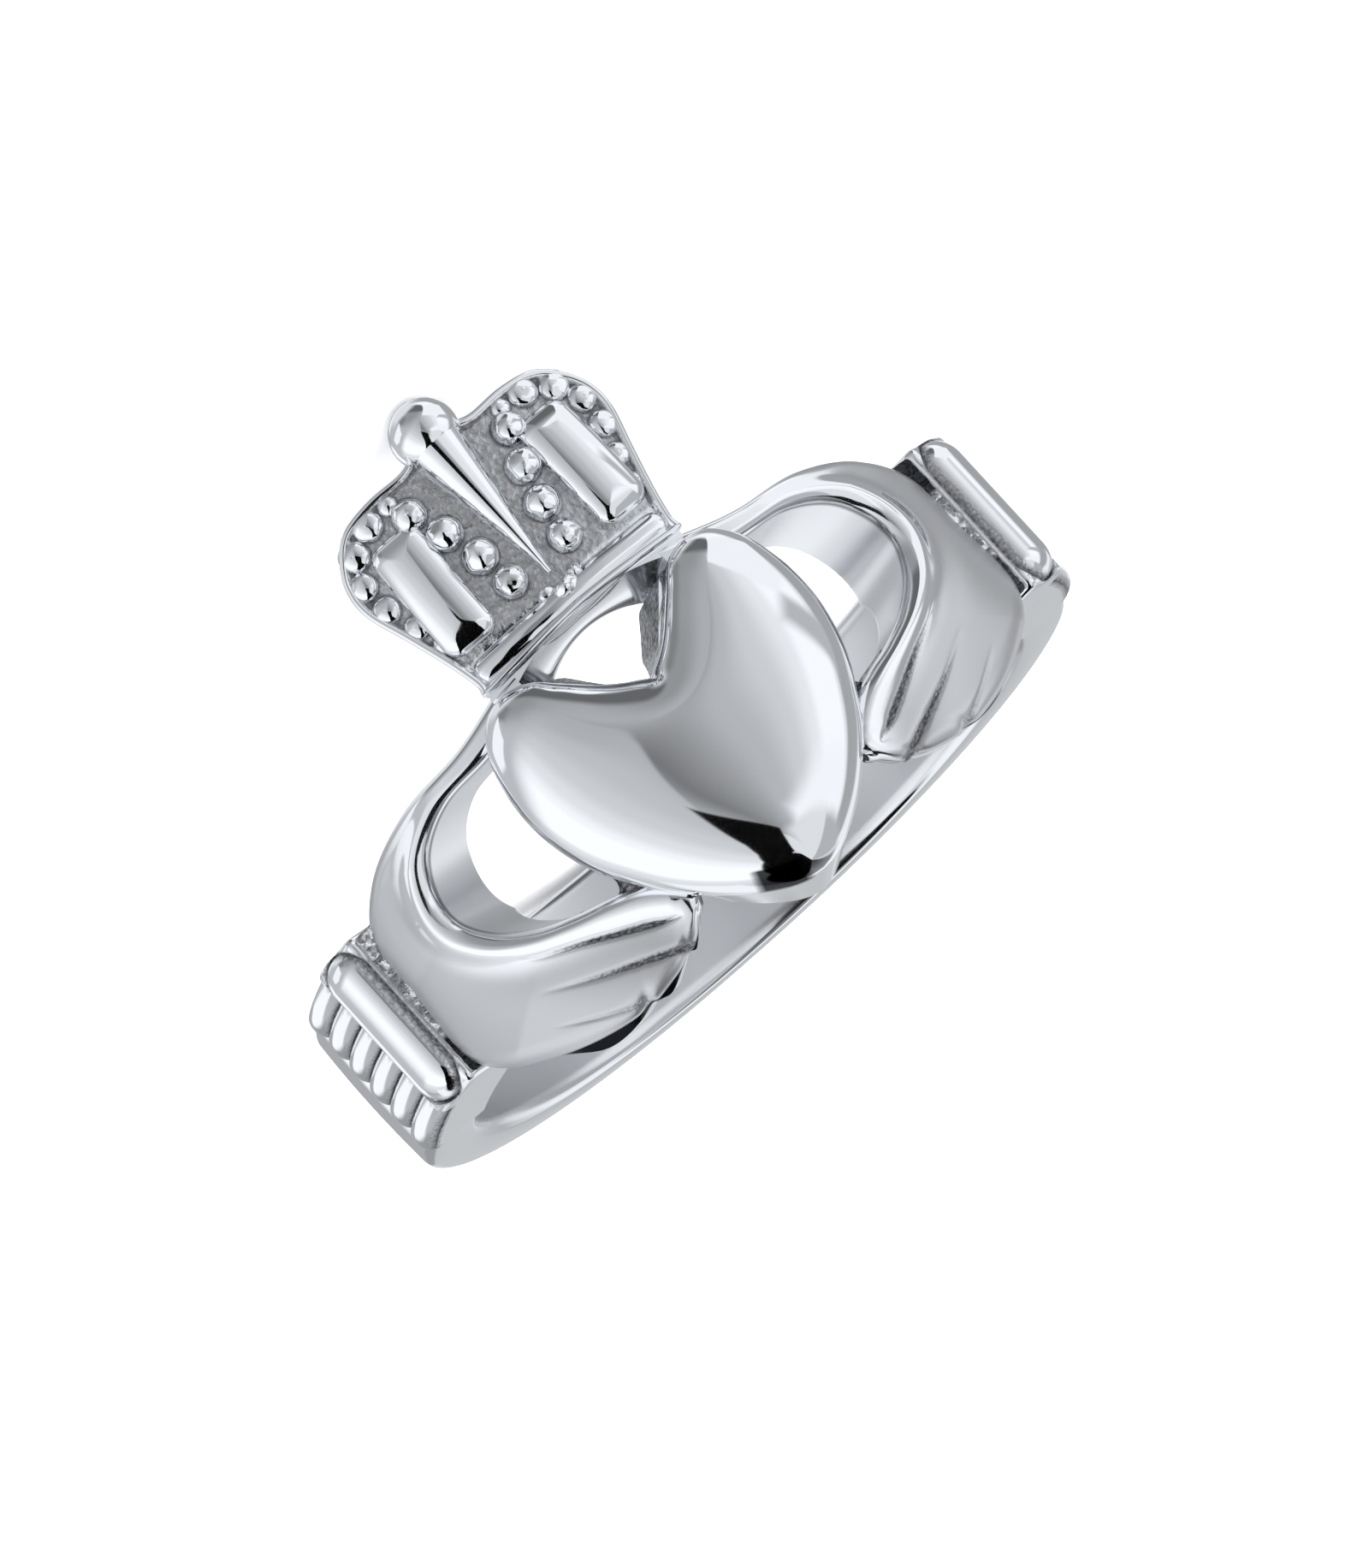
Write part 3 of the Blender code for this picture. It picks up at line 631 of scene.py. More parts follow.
def hand(side):
    """Strip with its section across: rolled inner edge, back sloping out, eased outer edge, wall."""
    table = through(HAND_SECTIONS, STATION_STEPS)
    rows = len(table)
    s0, z0, s1, z1, crest = (column[:, None] for column in table.T)
    near = bell(np.hypot(s1 - FINGERTIP_NOTCHES[:, 0], z1 - FINGERTIP_NOTCHES[:, 1]), 0.20)
    pull = NOTCH_PULL * near.max(axis=1, keepdims=True)
    length = np.hypot(s1 - s0, z1 - z0)
    s1 = s1 - pull * (s1 - s0) / length
    z1 = z1 - pull * (z1 - z0) / length
    a = (1 - np.cos(np.linspace(0, math.pi, HAND_COLUMNS)))[None, :] / 2
    s = s0 + (s1 - s0) * a
    z = z0 + (z1 - z0) * a
    width = np.hypot(s1 - s0, z1 - z0)
    across = a * width
    full = unit((width - 0.7) / 1.4)
    station = np.arange(rows)[:, None] / STATION_STEPS
    sink, rough = groove_at(s, z)
    ridge, valley = (rise * full * bell(across - where, reach) for rise, where, reach in EDGE_SWELLS)
    lean = HAND_LEAN * unit((8.5 - station) / 2.5) - 0.02
    radius = crest + ridge + valley - lean * full * (across - 0.5)
    for (drop, reach), gap in zip(EDGE_DROPS, (across, width - across)):
        radius = radius - drop * quarter(gap, np.minimum(reach, 0.4 * width))
    radius = radius - sink
    radius = radius + 0.006 * rough * grain(on_ring(s, z, radius), 0.09, 4)
    thin = unit((station - 6.5) / 2.5) ** 0.7
    back = BORE_RADIUS + (BACK_RADIUS - BORE_RADIUS) * thin + 0.50 * unit((station - 11) / 2.5)
    top = on_ring(side * s, z, radius)
    ledge = sum(size * bell(station - where, reach) for where, reach, size in LEDGES[side])
    tuck = WALL_TUCK * unit(station - 5.5) * np.sin(WALL_STEPS * math.pi / 2)
    tuck = tuck - ledge * unit((WALL_STEPS - 0.01) * 9)
    outer_wall = on_ring(side * (s1 - tuck * (s1 - s0) / width), z1 - tuck * (z1 - z0) / width,
                         radius[:, -1:] + (back - radius[:, -1:]) * WALL_STEPS)
    over = np.linspace(1, 0, 14)[None, 1:]
    under = on_ring(side * (s0 + (s1 - s0) * over), z0 + (z1 - z0) * over, back)
    up = np.array([[0.05, 0.25, 0.5, 0.75, 0.92, 0.97]])
    inner_wall = on_ring(side * s0, z0, back + (radius[:, :1] - back) * up)
    grid = np.concatenate([top, outer_wall, under, inner_wall], axis=1)
    grid = np.vstack([grid, grid[-1:] + 0.02 * (grid[-1].mean(axis=0) - grid[-1:])])
    blank = np.zeros((rows, grid.shape[1] - HAND_COLUMNS))
    dull = smooth(unit((across - 0.55) / 0.9) * unit((station - 2.0) / 2.0))
    satin = np.hstack([HAND_SATIN * dull + 0.1, blank + WALL_SATIN])
    # Painted shade: darker groove bottoms, grey over the backs of the hands, black ledges under the
    # fingertips, a darker lower piercing wall and a dark line along the piercing's edge.
    shade = np.hstack([np.maximum(0.55 * rough, HAND_SHADE * dull), blank])
    shade[:, HAND_COLUMNS:HAND_COLUMNS + LEDGE_SHADE.size] = unit(station - 5.6) * LEDGE_SHADE
    shade[:, -6:] = INNER_WALL_SHADE * unit((station - 4.5) / 6)
    shade[:, -1] = 0.75
    shade[:, :12] = np.linspace(0.5, 0, 12)
    masks = [np.vstack([part, part[-1:]]) for part in (np.hstack([rough, blank]), satin, shade)]
    # Painted shade: the fingertips' end face is black.
    masks[2][-1] = 1.0
    return skin(grid, mask=masks[0], satin=masks[1], painted_shade=masks[2])


WEB_OUTLINE = [
    # s, z: rough metal left in the corner of the piercing, its free edge hollow
    (3.10, -1.20), (3.80, -1.29), (3.86, -1.52), (3.96, -1.69), (4.14, -1.78), (4.33, -1.83),
    (4.64, -1.68), (5.05, -1.40), (5.10, -1.60), (4.60, -2.20), (4.20, -2.45), (3.20, -2.80),
    (2.70, -2.20),
]
WEB_CENTRE = np.array([3.90, -2.15])
WEB_WALL = (9.0, 9.6, 10.1)
WEB_TOP = 10.34


def web(side):
    """Prism on a closed outline; its top sinks by 0.25 * (1 - t^2) and carries the grain of the mould."""
    closed = through(WEB_OUTLINE + WEB_OUTLINE[:1], 8)[:-1]
    t = np.linspace(1, 0.1, 12)[:, None, None]
    loop = WEB_CENTRE + t * (closed - WEB_CENTRE)
    depth = WEB_TOP - 0.25 * (1 - t[..., 0] ** 2)
    place = on_ring(side * loop[..., 0], loop[..., 1], depth)
    depth = depth + 0.05 * grain(place, 0.12, 15)
    top = on_ring(side * loop[..., 0], loop[..., 1], depth)
    wall = on_ring(side * closed[:, 0], closed[:, 1], np.array(WEB_WALL)[:, None])
    # Painted shade greys the web in the corner of the piercing.
    return skin(np.vstack([wall, top]), mask=1.0, painted_shade=0.35)


for side, label in ((-1, "left"), (1, "right")):
    cast("hand_" + label, [hand(side), web(side)], POLISHED, crease=42.0)

# %% [markdown]
# ## Crown plate
# The crown is a flat plate with a narrow bright rim. Inside the rim the ground is sunk and keeps
# the grain of the mould. The sections run from the back, up the edge, over the rim and across the
# ground to the middle, and a lattice noise roughens the ground itself, so the grain is real.

# %% Crown plate
CROWN_OUTLINE = [
    # s, z: half outline from behind the ball round to the foot
    (0.00, 9.30), (0.62, 9.20), (1.12, 9.06), (2.08, 9.09), (2.98, 8.95), (3.55, 8.52),
    (3.95, 7.86), (4.00, 7.08), (3.66, 5.98), (3.34, 4.90), (3.16, 4.10), (3.14, 3.74),
    (2.20, 3.74), (1.10, 3.80), (0.00, 3.84),
]
BEADS = [
    # s, z, radius
    (1.60, 8.16, 0.43), (1.25, 7.26, 0.44), (0.99, 6.31, 0.45), (0.86, 5.37, 0.42),
]
HALF_BEADS = [
    # s, z, radius
    (1.82, 8.70, 0.26), (2.50, 8.66, 0.40), (3.24, 8.33, 0.40), (3.59, 7.66, 0.38),
    (3.54, 6.88, 0.36), (3.28, 6.08, 0.32), (3.04, 5.36, 0.30),
]
CROWN_CENTRE = np.array([0.0, 6.30])
CROWN_RIM = 10.66
CROWN_GROUND = 10.44
CROWN_BACK = 9.15
GROUND_GRAIN = [
    # height, size of a cell, seed
    (0.038, 0.21, 1), (0.022, 0.11, 2),
]
# Painted shade on the sunk ground and round the beads.
GROUND_SHADE = 0.36
CREVICE_SHADE = 0.78
CREVICE_WIDTH = 0.07
CROWN_EDGE = (
    # inset from the outline, radius: from the back up the edge, over the rim and down to the ground
    (0.14, CROWN_BACK), (0.05, CROWN_BACK + 0.03), (0.01, CROWN_BACK + 0.1), (0.0, 9.5), (0.0, 10.0),
    (0.0, CROWN_RIM - 0.16), (0.012, CROWN_RIM - 0.08), (0.04, CROWN_RIM - 0.03), (0.08, CROWN_RIM),
    (0.14, CROWN_RIM), (0.18, CROWN_RIM - 0.03), (0.21, CROWN_RIM - 0.09), (0.23, CROWN_GROUND + 0.02),
    (0.27, CROWN_GROUND),
)


def above_foot(z):
    """0 on the polished foot, 1 on the ground above the rolls, with a soft step between."""
    return unit((z - 4.55) / 0.15)


def crevice(loop):
    """Painted shade round the beads, fading with the gap between a point and the nearest bead's edge."""
    table = np.array(BEADS + HALF_BEADS)
    gap = np.hypot(np.abs(loop[:, :1]) - table[:, 0], loop[:, 1:] - table[:, 1]) - table[:, 2]
    return CREVICE_SHADE * bell(np.clip(gap, 0, None).min(axis=1), CREVICE_WIDTH)


def crown_plate():
    """Offsets inwards from the outline over the rim, then scaled loops over the ground."""
    outline = mirrored(evenly(through(CROWN_OUTLINE, 16), 201))
    rows = []
    masks = []
    shades = []
    for scale in (0.05, 0.3, 0.55, 0.8, 0.93):
        loop = CROWN_CENTRE + scale * (outline - CROWN_CENTRE)
        rows.append(on_ring(*loop.T, CROWN_BACK))
        masks.append(np.zeros(len(loop)))
        shades.append(np.zeros(len(loop)))
    for distance, radius in CROWN_EDGE:
        loop = inset(outline, distance)
        rows.append(on_ring(*loop.T, radius))
        ground = above_foot(loop[:, 1])
        masks.append(ground * (distance > 0.2))
        # Painted shade where the rim meets the ground.
        shades.append(0.5 * ground * (distance > 0.22))
    floor = inset(outline, CROWN_EDGE[-1][0])
    for scale in np.linspace(0.985, 0.02, 70):
        loop = CROWN_CENTRE + scale * (floor - CROWN_CENTRE)
        place = on_ring(*loop.T, CROWN_GROUND)
        ground = above_foot(loop[:, 1])
        bumps = ground * sum(height * grain(place, cell, seed) for height, cell, seed in GROUND_GRAIN)
        rows.append(on_ring(*loop.T, CROWN_GROUND + bumps))
        masks.append(ground * np.clip(0.50 - 12 * bumps, 0.15, 1))
        # Painted shade over the ground, darker round the beads.
        shades.append(ground * np.maximum(crevice(loop), GROUND_SHADE))
    behind = on_ring(0.0, CROWN_CENTRE[1], CROWN_BACK)
    middle = on_ring(0.0, CROWN_CENTRE[1], CROWN_GROUND)
    return skin(rows, behind, middle, mask=np.array(masks), painted_shade=np.array(shades))


cast("crown_plate", [crown_plate()], CAST)

# %% [markdown]
# ## What stands on the crown
# Two pillowed panels, a tapering keel under the ball, two columns of beads and a row of half
# beads inside the rim. A pillow is a rounded rectangle that rises with the way to its edge.
# A bead is a sphere sunk in the ground, with a slightly uneven skin from casting.

# %% Panels, keel and ball
PANEL_CENTRE = (2.38, 6.44)
PANEL_HALF = (0.73, 1.66)
PANEL_TOP = 11.00
PANEL_CORNER = 0.42
PANEL_RISE = 0.36
PANEL_SAG = 0.13
PANEL_LEAN = math.radians(-2.0)
KEEL_Z = (9.20, 4.95)
KEEL_HALF = 0.72
KEEL_CREST = 0.86
BALL = {"s": 0.0, "z": 9.35, "radius": 10.55, "size": 0.87}


def panel(side):
    """Loops of a rounded rectangle; height = H * (1 - (1 - d / w)^2)^(1/2) with d the way to the edge."""
    corner = PANEL_CORNER
    core_u, core_v = PANEL_HALF[0] - corner, PANEL_HALF[1] - corner
    turn = np.linspace(0, math.pi / 2, 20)
    run = np.linspace(-1, 1, 24)[1:-1]
    arc = np.stack([core_u + corner * np.cos(turn), core_v + corner * np.sin(turn)], axis=-1)
    top = np.stack([-core_u * run, np.full(run.size, PANEL_HALF[1])], axis=-1)
    left = np.stack([np.full(run.size, -PANEL_HALF[0]), -core_v * run], axis=-1)
    half = np.vstack([arc, top, arc[::-1] * [-1, 1], left])
    loop = np.vstack([half, -half])
    t = np.concatenate([[1.0, 1.0, 1.0], np.sin(np.linspace(1, 0.03, 44) * math.pi / 2)])[:, None]
    u = t * loop[:, 0]
    v = t * loop[:, 1]
    over_u = np.abs(u) - core_u
    over_v = np.abs(v) - core_v
    outside = np.hypot(np.clip(over_u, 0, None), np.clip(over_v, 0, None))
    distance = corner - outside - np.minimum(np.maximum(over_u, over_v), 0)
    height = PANEL_RISE * np.sqrt(1 - (1 - unit(distance / PANEL_HALF[0])) ** 2)
    height = height - PANEL_SAG * (v / PANEL_HALF[1]) ** 2
    height[:3] = np.array([[-1.4], [-0.5], [-0.16]])
    s = PANEL_CENTRE[0] + u * math.cos(PANEL_LEAN) + v * math.sin(PANEL_LEAN)
    z = PANEL_CENTRE[1] - u * math.sin(PANEL_LEAN) + v * math.cos(PANEL_LEAN)
    return skin(on_ring(side * s, z, PANEL_TOP - PANEL_RISE + height))


def keel():
    """Half-round wedge from the ball to a point at the foot, its crest falling as it narrows."""
    t = np.concatenate([np.linspace(0, 0.9, 40), np.linspace(0.91, 1.0, 12)])[:, None]
    half = KEEL_HALF * (1 - t) + 0.05
    crest = KEEL_CREST * (1 - t) ** 0.9 + 0.06
    angle = np.linspace(0, math.pi, 40)[None, :]
    s = -half * np.cos(angle)
    rise = crest * np.sin(angle) ** 0.8
    z = KEEL_Z[0] + (KEEL_Z[1] - KEEL_Z[0]) * t + 0 * angle
    top = on_ring(s, z, CROWN_GROUND + rise)
    below = on_ring(s[:, -2:0:-1], z[:, -2:0:-1], CROWN_GROUND - 0.5)
    return skin(np.concatenate([top, below], axis=1))


def sphere(s, z, radius, size, squash=(1.0, 1.0, 1.0), rough=0.0, seed=0):
    """Sphere on a grid of latitude and longitude about the head's normal, with an uneven skin."""
    tall = np.linspace(0.04, math.pi - 0.04, 25)[:, None]
    turn = np.linspace(0, 2 * math.pi, 32, endpoint=False)[None, :]
    a = size * squash[0] * np.sin(tall) * np.cos(turn)
    b = size * squash[1] * np.sin(tall) * np.sin(turn)
    c = size * squash[2] * np.cos(tall) + 0 * turn
    theta = s / HEAD_RADIUS
    out = np.array([math.sin(theta), -math.cos(theta), 0.0])
    along = np.array([math.cos(theta), math.sin(theta), 0.0])
    up = np.array([0.0, 0.0, 1.0])
    middle = on_ring(s, z, radius)
    rows = middle + a[..., None] * along + b[..., None] * up + c[..., None] * out
    if rough:
        rows = rows + (rows - middle) * (rough * grain(rows, 0.22, seed))[..., None]
    top = middle + size * squash[2] * out
    return skin(rows, top, 2 * middle - top)


cast("crown_panels", [panel(-1), panel(1)], POLISHED, crease=60.0)
cast("crown_keel", [keel()], POLISHED, crease=60.0)
cast("crown_ball", [sphere(**BALL)], POLISHED)

# %% Beads and half beads
beads = []
half_beads = []
for side in (-1, 1):
    for k, (s, z, size) in enumerate(BEADS):
        beads.append(sphere(side * s, z, CROWN_GROUND + 0.06, size, rough=0.08, seed=10 + k + side))
    for k, (s, z, size) in enumerate(HALF_BEADS):
        half_beads.append(sphere(side * s, z, CROWN_GROUND, size, (1, 1, 0.62), 0.07, 30 + k + side))
cast("crown_beads", beads, POLISHED)
cast("crown_half_beads", half_beads, POLISHED)

# %% [markdown]
# ## Foot of the crown
# One polished roll runs along the foot, and below it a hollow wall sweeps in to the finger
# hole. The wall is a quarter of an ellipse in section, carried along the foot.


# %% Roll, knob and foot
FOOT_HALF = 3.13
FOOT_RADIUS = 10.40
FOOT_BACK = [
    # z, radius: behind the hollow, inside the plate
    (4.15, BORE_RADIUS), (4.7, 9.2), (4.7, FOOT_RADIUS),
]
KNOB = [
    # s, z, radius, size, stretch in three directions, unevenness, seed
    (0.05, 4.42, 10.52, 0.26, (1.25, 0.9, 1.0), 0.28, 51),
    (-0.42, 4.62, 10.42, 0.17, (1.3, 0.9, 1.0), 0.3, 52),
    (0.46, 4.60, 10.42, 0.18, (1.2, 0.9, 1.0), 0.3, 53),
]


def roll(height, axis, size, half_length, uneven):
    """Tube along the foot whose ends close in quarter circles, with a slightly uneven casting."""
    run = np.sin(np.linspace(-1, 1, 91) * math.pi / 2)[:, None]
    s = half_length * run
    thick = size * np.clip(1 - np.abs(run) ** 30, 0.02, 1) ** 0.5
    angle = np.linspace(0, 2 * math.pi, 40, endpoint=False)[None, :]
    place = on_ring(s, height + thick * np.cos(angle), axis + thick * np.sin(angle))
    thick = thick * (1 + uneven * grain(place, 0.5, 21))
    return skin(on_ring(s, height + thick * np.cos(angle), axis + thick * np.sin(angle)))


def foot():
    """Closed section: hollow front from the roll to the bore, arched along the foot."""
    s = np.linspace(-FOOT_HALF, FOOT_HALF, 101)[:, None]
    share = 1 - np.sin(np.linspace(0, math.pi / 2, 24)[None, :])
    hollow_r = BORE_RADIUS + (FOOT_RADIUS - BORE_RADIUS) * share
    top_z = 3.92 - 0.075 * s ** 2
    low_z = 3.66 - 0.13 * np.minimum(s ** 2, 4.0)
    hollow_z = low_z + (top_z - low_z) * (1 - (1 - share) ** 2) ** 0.5
    back_z, back_r = (np.ones_like(s) * column for column in np.array(FOOT_BACK).T)
    r = np.concatenate([hollow_r + 0 * s, back_r], axis=1)
    z = np.concatenate([hollow_z, back_z], axis=1)
    return skin(on_ring(s + 0 * r, z, r), satin=0.2)


long_roll = roll(height=4.22, axis=10.26, size=0.40, half_length=3.04, uneven=0.02)
cast("crown_rolls", [long_roll], POLISHED)
cast("crown_knob", [sphere(*lump) for lump in KNOB], CAST)
cast("crown_foot", [foot()], POLISHED)

# %% [markdown]
# ## Cuffs
# Each cuff is a block across the band: a low floor beside the hand, a framed round bar, and a
# shoulder with six flutes. The bar and its frame are one height over the block, chosen by the
# distance from the bar's centre line. The flutes are half-round ribs side by side. Painted shade
# makes the floor's corners beside the hand black and darkens the rough floor, the groove round
# the bar and the valleys between the flutes.


# %% Cuffs
# Each block has its start and end in degrees, half width, and rounding of the edges.
FLOOR_BLOCK = (49.0, 55.6, 2.13, 0.16)
BAR_BLOCK = (54.0, 62.8, 2.24, 0.20)
FLUTES_BLOCK = (61.2, 82.0, 2.22, 0.16)
# Painted shade: a share for rough parts, and how black the floor's corners beside the hand are at low and
# high z.
VALLEY_SHADE = 0.65
SHADED_CORNERS = {-1: (0.97, 0.0), 1: (0.90, 0.97)}
FLOOR_RADIUS = 10.62
FLOOR_RISE = 0.36
BAR_ANGLE = 58.3
BAR_HALF = 0.70
BAR_LENGTH = 1.46
BAR_BASE = 10.98
BAR_RISE = 0.50
FRAME_LOW = 0.06
FRAME_RISE = 0.16
FLUTES = 6
FLUTES_HALF = 2.20
FLUTE_STATIONS = [
    # angle in degrees, crest radius, rise of the flute
    (61.0, 11.12, 0.28), (67.0, 10.95, 0.30), (73.0, 10.79, 0.31), (77.0, 10.69, 0.31),
    (79.2, 10.60, 0.28), (80.8, 10.46, 0.18), (82.0, 10.24, 0.00),
]


def ease_in(distance, size):
    """How far a section shrinks near an end: a quarter circle of the given size."""
    left = np.clip(size - distance, 0, size)
    return size - np.sqrt(np.clip(size ** 2 - left ** 2, 0, None))


def block(side, measures, top, columns=121, stations=61, corner=(0.0, 0.0)):
    """Block between two angles. top(arc, z) gives its outer radius and the rough share, which also
    gets painted shade, and corner the painted shade of the corners at low and high z."""
    start, end, half_width, ease = measures
    x = (1 - np.cos(np.linspace(0, math.pi, stations)))[:, None] / 2
    degrees = start + (end - start) * x
    arc = np.radians(degrees) * HEAD_RADIUS
    length = math.radians(end - start) * HEAD_RADIUS
    shrink = np.maximum(ease_in(x * length, ease), ease_in((1 - x) * length, ease))
    v = np.linspace(-1, 1, columns)[None, :]
    v = np.sign(v) * (1 - (1 - np.abs(v)) ** 1.25)
    z = v * (half_width - shrink)
    radius, rough = top(arc + 0 * z, z)
    in_corner = unit((np.abs(z) - 0.9) / 0.2) * unit((0.85 - x) / 0.1)
    shade = np.maximum(VALLEY_SHADE * rough, np.where(z > 0, corner[1], corner[0]) * in_corner)
    edge = ease_in(half_width - shrink - np.abs(z), ease)
    radius = radius - shrink - edge
    face = on_ring(side * arc, z, radius)
    inner = BORE_RADIUS + 0.04 + shrink
    wall = np.linspace(0, 1, 12)[None, 1:]
    w = half_width - shrink
    far = on_ring(side * arc, w, radius[:, -1:] + (inner - radius[:, -1:]) * wall)
    bottom = on_ring(side * arc, w * np.linspace(1, -1, 13)[None, 1:], inner)
    near = on_ring(side * arc, -w, inner + (radius[:, :1] - inner) * wall[:, :-1])
    grid = np.concatenate([face, far, bottom, near], axis=1)
    blank = np.zeros((stations, grid.shape[1] - columns))
    return skin(grid, mask=np.concatenate([rough, blank], axis=1),
                painted_shade=np.concatenate([shade, blank], axis=1))


def floor_top(arc, z):
    """Floor with the grain of the mould, sweeping up to the bar's frame in a hollow curve."""
    rise = unit((np.degrees(arc / HEAD_RADIUS) - 51.5) / 3.4)
    radius = FLOOR_RADIUS + FLOOR_RISE * rise ** 2
    place = on_ring(arc, z, radius)
    rough = np.clip(0.45 + grain(place, 0.08, 8), 0.1, 0.9)
    return radius + 0.025 * grain(place, 0.09, 7), rough


def bar_top(arc, z):
    """Round bar within a groove within a frame, all by the distance to the bar's centre line."""
    centre = math.radians(BAR_ANGLE) * HEAD_RADIUS
    distance = np.hypot(arc - centre, np.clip(np.abs(z) - BAR_LENGTH, 0, None))
    bar = BAR_BASE + BAR_RISE * np.sqrt(unit(1 - (distance / BAR_HALF) ** 2))
    past = distance - BAR_HALF - 0.02
    frame = FRAME_LOW + FRAME_RISE * unit((arc - centre) / 0.4 + 0.5)
    lip = smooth(unit(past / 0.06))
    return np.maximum(bar, BAR_BASE - 0.02 + frame * lip), bell(past, 0.05)


def flute_top(arc, z):
    """Half-round ribs: crest - rise * (1 - sqrt(1 - (offset / half pitch)^2)), with rough valleys."""
    table = through(FLUTE_STATIONS, 12)
    degrees = np.degrees(arc / HEAD_RADIUS)
    crest = np.interp(degrees, table[:, 0], table[:, 1])
    rise = np.interp(degrees, table[:, 0], table[:, 2])
    pitch = 2 * FLUTES_HALF / FLUTES
    offset = np.abs((z + FLUTES_HALF) % pitch / pitch * 2 - 1)
    share = np.sqrt(unit(1 - offset ** 2))
    rough = unit(1.7 - share / 0.40)
    place = on_ring(arc, z, crest)
    return crest - rise * (1 - share) + 0.03 * rough * grain(place, 0.1, 9), rough


for side, label in ((-1, "left"), (1, "right")):
    cast("cuff_floor_" + label, [block(side, FLOOR_BLOCK, floor_top, corner=SHADED_CORNERS[side])], CAST)
    cast("cuff_bar_" + label, [block(side, BAR_BLOCK, bar_top, 181, 101)], POLISHED)
    cast("cuff_flutes_" + label, [block(side, FLUTES_BLOCK, flute_top, 241)], POLISHED)

# %% [markdown]
# ## Camera
# The ring lies on its side, and the camera keeps the angle to it at which it was photographed.
# It looks from the front, a little above the table, and is rolled so that the crown points up
# and to the left. A long lens keeps the shape as flat as in the picture.

# %% Camera
CAMERA_RISE = 0.15382
CAMERA_SWING = 0.13801
CAMERA_ROLL = 0.73971
CAMERA_DISTANCE = 350.0
PIXELS_PER_MM = 48.656
PICTURE = (1600, 1832)
PICTURE_CENTRE = (807.74, 955.81)


def place_camera():
    """Camera on the line of sight, with the lens that gives the picture's scale, rolled about it."""
    ca, sa = math.cos(CAMERA_RISE), math.sin(CAMERA_RISE)
    cb, sb = math.cos(CAMERA_SWING), math.sin(CAMERA_SWING)
    cr, sr = math.cos(CAMERA_ROLL), math.sin(CAMERA_ROLL)
    back = np.array([-ca * sb, -ca * cb, -sa])
    right = np.array([cb, -sb, 0.0])
    up = np.array([-sa * sb, -sa * cb, ca])
    axes = np.stack([cr * right - sr * up, sr * right + cr * up, back], axis=-1)
    data = bpy.data.cameras.new("camera")
    data.sensor_fit = "HORIZONTAL"
    data.sensor_width = 36.0
    data.lens = PIXELS_PER_MM * CAMERA_DISTANCE / PICTURE[0] * data.sensor_width
    data.shift_x = (PICTURE[0] / 2 - PICTURE_CENTRE[0]) / PICTURE[0]
    data.shift_y = (PICTURE_CENTRE[1] - PICTURE[1] / 2) / PICTURE[0]
    data.clip_start = 0.01
    data.clip_end = 10.0
    camera = placed("camera", data)
    matrix = np.eye(4)
    matrix[:3, :3] = TURN @ axes
    matrix[:3, 3] = on_table(back * CAMERA_DISTANCE)
    camera.matrix_world = Matrix(matrix.tolist())
    bpy.context.scene.camera = camera
    return camera


camera = place_camera()
print("lens", round(camera.data.lens, 1), "at", [round(v, 4) for v in camera.location])

# %% [markdown]
# ## Studio
# What a mirror shows is its surroundings. A jeweller's light tent has a grey side behind the
# camera, a white box to the left and to the right, darker corners beyond them and a gap at the
# top where no light comes in. The tent is one node group that turns a direction into a
# brightness: azimuth 0 is the camera's side, and elevation is the height above the table.


# %% Tent of light as a function of direction
TENT_RAMP = [
    # azimuth in degrees, grey of the tent there
    (-180, 0.45), (-148, 0.45), (-140, 0.92), (-126, 0.92), (-118, 0.41), (-97, 0.40), (-92, 0.80),
    (-86, 1.05), (-58, 1.05), (-48, 0.88), (-30, 0.66), (-15, 0.50), (-4, 0.45), (4, 0.47),
    (16, 0.56), (30, 0.66), (45, 0.82), (60, 1.02), (66, 1.10), (95, 1.10), (104, 0.85),
    (120, 0.68), (130, 0.45), (180, 0.45),
]
TENT_BACK = [
    # elevation in degrees, grey of the tent behind the ring
    (-90, 0.95), (-56, 0.95), (-48, 0.45), (-43, 0.50), (-38, 1.05), (-26, 1.05), (-17, 0.60),
    (-8, 0.52), (0, 0.48), (7, 0.62), (13, 0.74), (21, 0.98), (34, 0.98), (46, 0.25), (90, 0.05),
]
BACK_FROM = 132.0
BACK_FULL = 146.0
